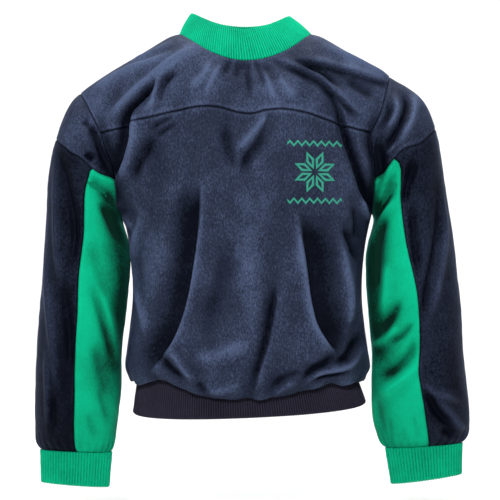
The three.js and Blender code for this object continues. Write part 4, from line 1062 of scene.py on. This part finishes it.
def body_piece(node, side, low, high, edges, material, lighter=0.0):
    """A body piece from one row to another. It gets painted shade where the body goes into the armholes."""
    across = even_places(lambda a: body_at(side, a, BODY_LAST + 0 * a), -1, 1)
    rows = even_places(lambda b: body_at(side, 0.35 + 0 * b, b), low, high)
    aa, bb = np.meshgrid(across, rows)
    p, rise = body_surface(side, aa, bb)
    turn = np.clip(180 - (rows - BODY_LAST) * ARM_STEP, 0, 180)
    edge_normals = {}
    for sign, edge in ((-1, "left"), (1, "right")):
        seam = np.tile([float(sign), 0.0, 0.0], (len(rows), 1))
        hole = armhole_normal(sign, turn if side < 0 else 360 - turn)
        edge_normals[edge] = unit(lerp(seam, hole, smooth(rows, BODY_LAST - 0.5, BODY_LAST)[:, None]))
    in_armhole = between(bb, BODY_LAST - 1, BODY_LAST + 1, TOP - 6.5, TOP - 3)
    in_armhole = in_armhole * smooth(np.abs(aa), *ARMHOLE_SIDE)
    painted_light = np.maximum(painted_from_rise(rise) + lighter - ARMHOLE_SHADE * in_armhole, BODY_LOW)
    built[node] = cloth_piece(node, p, painted_light, edges, [material, NAVY_BACK], (0, side, 0.05), edge_normals)


body_piece("front_panel", -1, 0, YOKE, ALL_EDGES[1:], NAVY_PRINT)
body_piece("front_yoke", -1, YOKE, TOP, ALL_EDGES, NAVY, YOKE_LIGHTER)
body_piece("back_panel", 1, 0, TOP, ALL_EDGES[1:], NAVY)


def sleeve_painted_light(part, sign, painted_light, turned, row):
    """A sleeve piece's painted shade and highlight with its broad painted shade: under the arm, at the sides
    or on the inner half. turned is how far round a point is from the outer edge, in degrees."""
    if part == "cap":
        under_arm = smooth(turned, *CAP_UNDER) * (1 - smooth(row, *CAP_ROWS))
        return np.maximum(np.where(painted_light < 0, 1.4 * painted_light, painted_light) - CAP_SHADE * under_arm, CAP_LOW)
    if part == "outer":
        shade = lerp(OUTER_EDGE, OUTER_SHADE[sign], smooth(turned, *OUTER_SIDE))
        return np.maximum(0.9 * painted_light + shade, OUTER_LOW)
    towards_cuff = smooth(row - len(SLEEVE[sign]["xo"]), *INNER_ROWS)
    return 0.58 * painted_light + lerp(INNER_LIGHT, INNER_SHADE, smooth(turned, *INNER_SIDE) * (1 - 0.6 * towards_cuff))


def sleeve_piece(part, sign, first, last, start, end, edges, materials, out):
    """A sleeve piece between two columns. start and end give its rows at a column."""
    def spot(i, t):
        row = lerp(start(i), end(i), t)
        return column_angle(sign, i, row), row

    middle = (first + last) / 2
    cols = even_places(lambda i: sleeve_at(sign, *spot(i, 0.5 + 0 * i)), first, last)
    rows = even_places(lambda t: sleeve_at(sign, *spot(middle + 0 * t, t)), 0, 1)
    angle, row = spot(*np.meshgrid(cols, rows))
    p, rise = sleeve_surface(sign, angle, row)
    painted_light = sleeve_painted_light(part, sign, painted_from_rise(rise), np.abs(np.mod(angle + 180, 360) - 180), row)
    node = f"sleeve_{part}_{'left' if sign < 0 else 'right'}"
    angle, row = spot(cols, 0 * cols)
    at_armhole = {"first": armhole_normal(sign, angle) * (row < 1e-6)[:, None]}
    built[node] = cloth_piece(node, p, painted_light, edges, materials, out, at_armhole, SLEEVE_SEAM_SHADING)


def sleeve_pieces(sign):
    def cap(i):
        return cap_end(sign, i)

    def armhole_row(i):
        return 0 * i

    def cuff_row(i):
        return 0 * i + float(len(SLEEVE[sign]["xo"]))

    long_edges = ("first", "left", "right")
    sleeve_piece("cap", sign, -8, 8, armhole_row, cap, ("first", "last"), [NAVY, NAVY_BACK], (sign, 0, 0.3))
    sleeve_piece("outer", sign, -6, 6, cap, cuff_row, long_edges, [NAVY, NAVY_BACK], (sign, 0, 0))
    sleeve_piece("under", sign, 6, 18, cap, cuff_row, long_edges, [GREEN, GREEN_BACK], (-sign, 0, 0))


sleeve_pieces(-1)
sleeve_pieces(1)


def neck_point(turn):
    """The body's edge at the neck."""
    turned = np.mod(turn, 360)
    front = (turned <= 90) | (turned >= 270)
    reach = np.sin(np.radians(turned))
    across = across_of(reach * neck_share(reach))
    ends = (body_at(side, across, TOP + 0 * across) for side in (-1, 1))
    return np.where(front[..., None], *ends)


def collar_face(turn, height):
    s, c = np.sin(np.radians(turn)), np.cos(np.radians(turn))
    ahead, beside = rounded(turn, COLLAR["squareness"])
    x = COLLAR["half"] * beside
    end = np.where(c > 0, COLLAR["front_z"], COLLAR["back_z"])
    z = lerp(COLLAR["side_z"], end, c * c) + COLLAR["tilt"] * x
    top = leant(np.stack([x + COLLAR["middle_x"], COLLAR["y"] - COLLAR["depth"] * ahead, z], -1))
    bulge = COLLAR["bulge"] * np.sin(np.pi * height)
    out = np.stack([s, -c, 0 * turn], -1)
    return lerp(neck_point(turn) + np.array([0, 0, 0.25]), top, height[..., None]) + out * bulge[..., None]


def band_face(turn, height):
    ahead, x = rounded(turn, SQUARENESS)
    y = -ahead

    def at(key):
        return lerp(BAND_BOTTOM[key], BAND_TOP[key], height)

    depth = np.where(y < 0, at("front"), at("back"))
    bottom = BAND_BOTTOM["z"] + BAND_BOTTOM["tilt"] * x * BAND_BOTTOM["half"] + BAND_BOTTOM["dip"] * y
    return leant(np.stack([at("half") * x, depth * y, lerp(bottom, WAIST_SEAM_Z - SEAM, height)], -1))


def cuff_face(sign):
    cuff = CUFF[sign]
    end = {key: value[-1] for key, value in SLEEVE[sign].items()}
    slope = (end["zo"] - end["zi"]) / (end["xo"] - end["xi"])
    top = {"xo": cuff["xo"], "xi": cuff["xi"]}
    for key in ("o", "i"):
        top["z" + key] = end["z" + key] + slope * (cuff["x" + key] - end["x" + key])

    def face(turn, height):
        c, d = rounded(turn, SLEEVE_SQUARENESS)
        x, z = section_line({key: lerp(cuff["bottom"][key], top[key], height) for key in LINE_KEYS}, c)
        depth = lerp(cuff["bottom"]["depth"], CUFF_DEPTH, height)
        return np.stack([sign * x, end["y"] + sign * d * depth, z - SEAM * height], -1)

    return face


COLLAR_HEIGHTS = (0, 0.03, 0.08, 0.18, 0.3, 0.42, 0.54, 0.66, 0.78, 0.88, 0.96, 1)
BAND_HEIGHTS = (0, 0.04, 0.15, 0.35, 0.6, 0.85, 1)
CUFF_HEIGHTS = (0, 0.05, 0.15, 0.3, 0.45, 0.6, 0.75, 0.88, 0.96, 1)
# Face, ribs, points in a rib, heights of the rows, thickness, rise of a rib, whether the top is rolled,
# cloth, and how strong the painted shade between the ribs and the painted highlight on them are
TUBES = {
    "collar": (collar_face, COLLAR_RIBS, 8, COLLAR_HEIGHTS, 2.2, 1.3, True, GREEN_RIB, 0.34),
    "waistband": (band_face, BAND_RIBS, 6, BAND_HEIGHTS, 1.9, 1.2, False, NAVY_RIB, 0.38),
    "cuff_left": (cuff_face(-1), CUFF_RIBS, 8, CUFF_HEIGHTS, 2.0, 1.4, False, GREEN_RIB, 0.18),
    "cuff_right": (cuff_face(1), CUFF_RIBS, 8, CUFF_HEIGHTS, 2.0, 1.4, False, GREEN_RIB, 0.18),
}
for node, tube in TUBES.items():
    built[node] = rib_tube(node, *tube)

# Each piece's slot and the cut of one layer as it shows, in metres: width, length and area
CUTS = {
    "front_panel": ("navy_velour", 0.56, 0.50, 0.238),
    "front_yoke": ("navy_velour", 0.50, 0.21, 0.069),
    "back_panel": ("navy_velour", 0.56, 0.68, 0.307),
    "sleeve_cap_left": ("navy_velour", 0.37, 0.11, 0.021),
    "sleeve_cap_right": ("navy_velour", 0.37, 0.14, 0.027),
    "sleeve_outer_left": ("navy_velour", 0.27, 0.49, 0.094),
    "sleeve_outer_right": ("navy_velour", 0.28, 0.52, 0.106),
    "sleeve_under_left": ("green_velour", 0.26, 0.45, 0.082),
    "sleeve_under_right": ("green_velour", 0.26, 0.45, 0.083),
    "collar": ("green_rib", 0.50, 0.054, None),
    "cuff_left": ("green_rib", 0.25, 0.056, None),
    "cuff_right": ("green_rib", 0.26, 0.056, None),
    "waistband": ("navy_rib", 0.97, 0.056, None),
}
for node, (slot_name, width, length, area) in CUTS.items():
    piece = built[node]
    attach(piece, "root")
    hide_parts(node)

# Floor, light and camera, in metres
FLOOR_Z, FLOOR_HALF, FLOOR_NEAR = -0.80, 7, -6.0
WALL_Y, WALL_TOP, WALL_CURVE = 4.5, 5.0, 1.5
FLOOR_NOISE = (3, 2, 0.5)
scene = bpy.context.scene
paper = bpy.data.materials.new("pale_floor")
nodes = Nodes(paper)
speck = nodes.noise(nodes.new("TexCoord").outputs["Object"], *FLOOR_NOISE)
nodes.surface(Base_Color=nodes.ramp(speck, (0.90,) * 3, (0.93,) * 3), Roughness=0.9)
profile = [(FLOOR_NEAR, FLOOR_Z)]
for turn in np.linspace(0, math.pi / 2, 16):
    profile.append((WALL_Y - WALL_CURVE * (1 - math.sin(turn)), FLOOR_Z + WALL_CURVE * (1 - math.cos(turn))))
profile.append((WALL_Y, WALL_TOP))
floor_mesh = bpy.data.meshes.new("floor")
floor_mesh.from_pydata([(x, y, z) for y, z in profile for x in (-FLOOR_HALF, FLOOR_HALF)], [],
                       [(k, k + 1, k + 3, k + 2) for k in range(0, 2 * len(profile) - 2, 2)])
floor_mesh.polygons.foreach_set("use_smooth", [True] * len(floor_mesh.polygons))
floor_mesh.materials.append(paper)
floor = bpy.data.objects.new("floor", floor_mesh)
scene.collection.objects.link(floor)

world = bpy.data.worlds.new("studio")
scene.world = world
world.use_nodes = True
world.node_tree.nodes["Background"].inputs["Color"].default_value = (1.0, 1.0, 1.0, 1)
world.node_tree.nodes["Background"].inputs["Strength"].default_value = 0.04

# Place, target, size and watts of each light
LIGHTS = {
    "key": ((-0.25, -2.7, 0.6), (0, 0, -0.27), 0.5, 66),
    "top": ((-0.1, -1.0, 1.9), (0, 0, -0.2), 0.6, 30),
    "rim_left": ((-2.3, 0.1, 0.2), (0, 0, -0.35), 0.9, 6),
    "rim_right": ((2.3, 0.1, 0.2), (0, 0, -0.35), 0.9, 6),
    "backdrop": ((0, 1.2, 2.6), (0, 3.4, -0.4), 3.0, 150),
}
for name, (place, target, size, watts) in LIGHTS.items():
    data = bpy.data.lights.new(name, "AREA")
    data.shape = "DISK"
    data.size = size
    data.energy = watts
    light = bpy.data.objects.new(name, data)
    scene.collection.objects.link(light)
    light.location = place
    aim = np.array(target) - np.array(place)
    light.rotation_euler = (math.atan2(math.hypot(aim[0], aim[1]), -aim[2]), 0, math.atan2(-aim[0], aim[1]))

camera_data = bpy.data.cameras.new("camera")
camera_data.lens = 100
camera_data.sensor_width = 36
camera_data.clip_end = 50
camera = bpy.data.objects.new("camera", camera_data)
scene.collection.objects.link(camera)
camera.location = tuple(EYE / 1000)
camera.rotation_euler = (math.pi / 2, 0, 0)
scene.camera = camera
scene.view_settings.view_transform = "Standard"
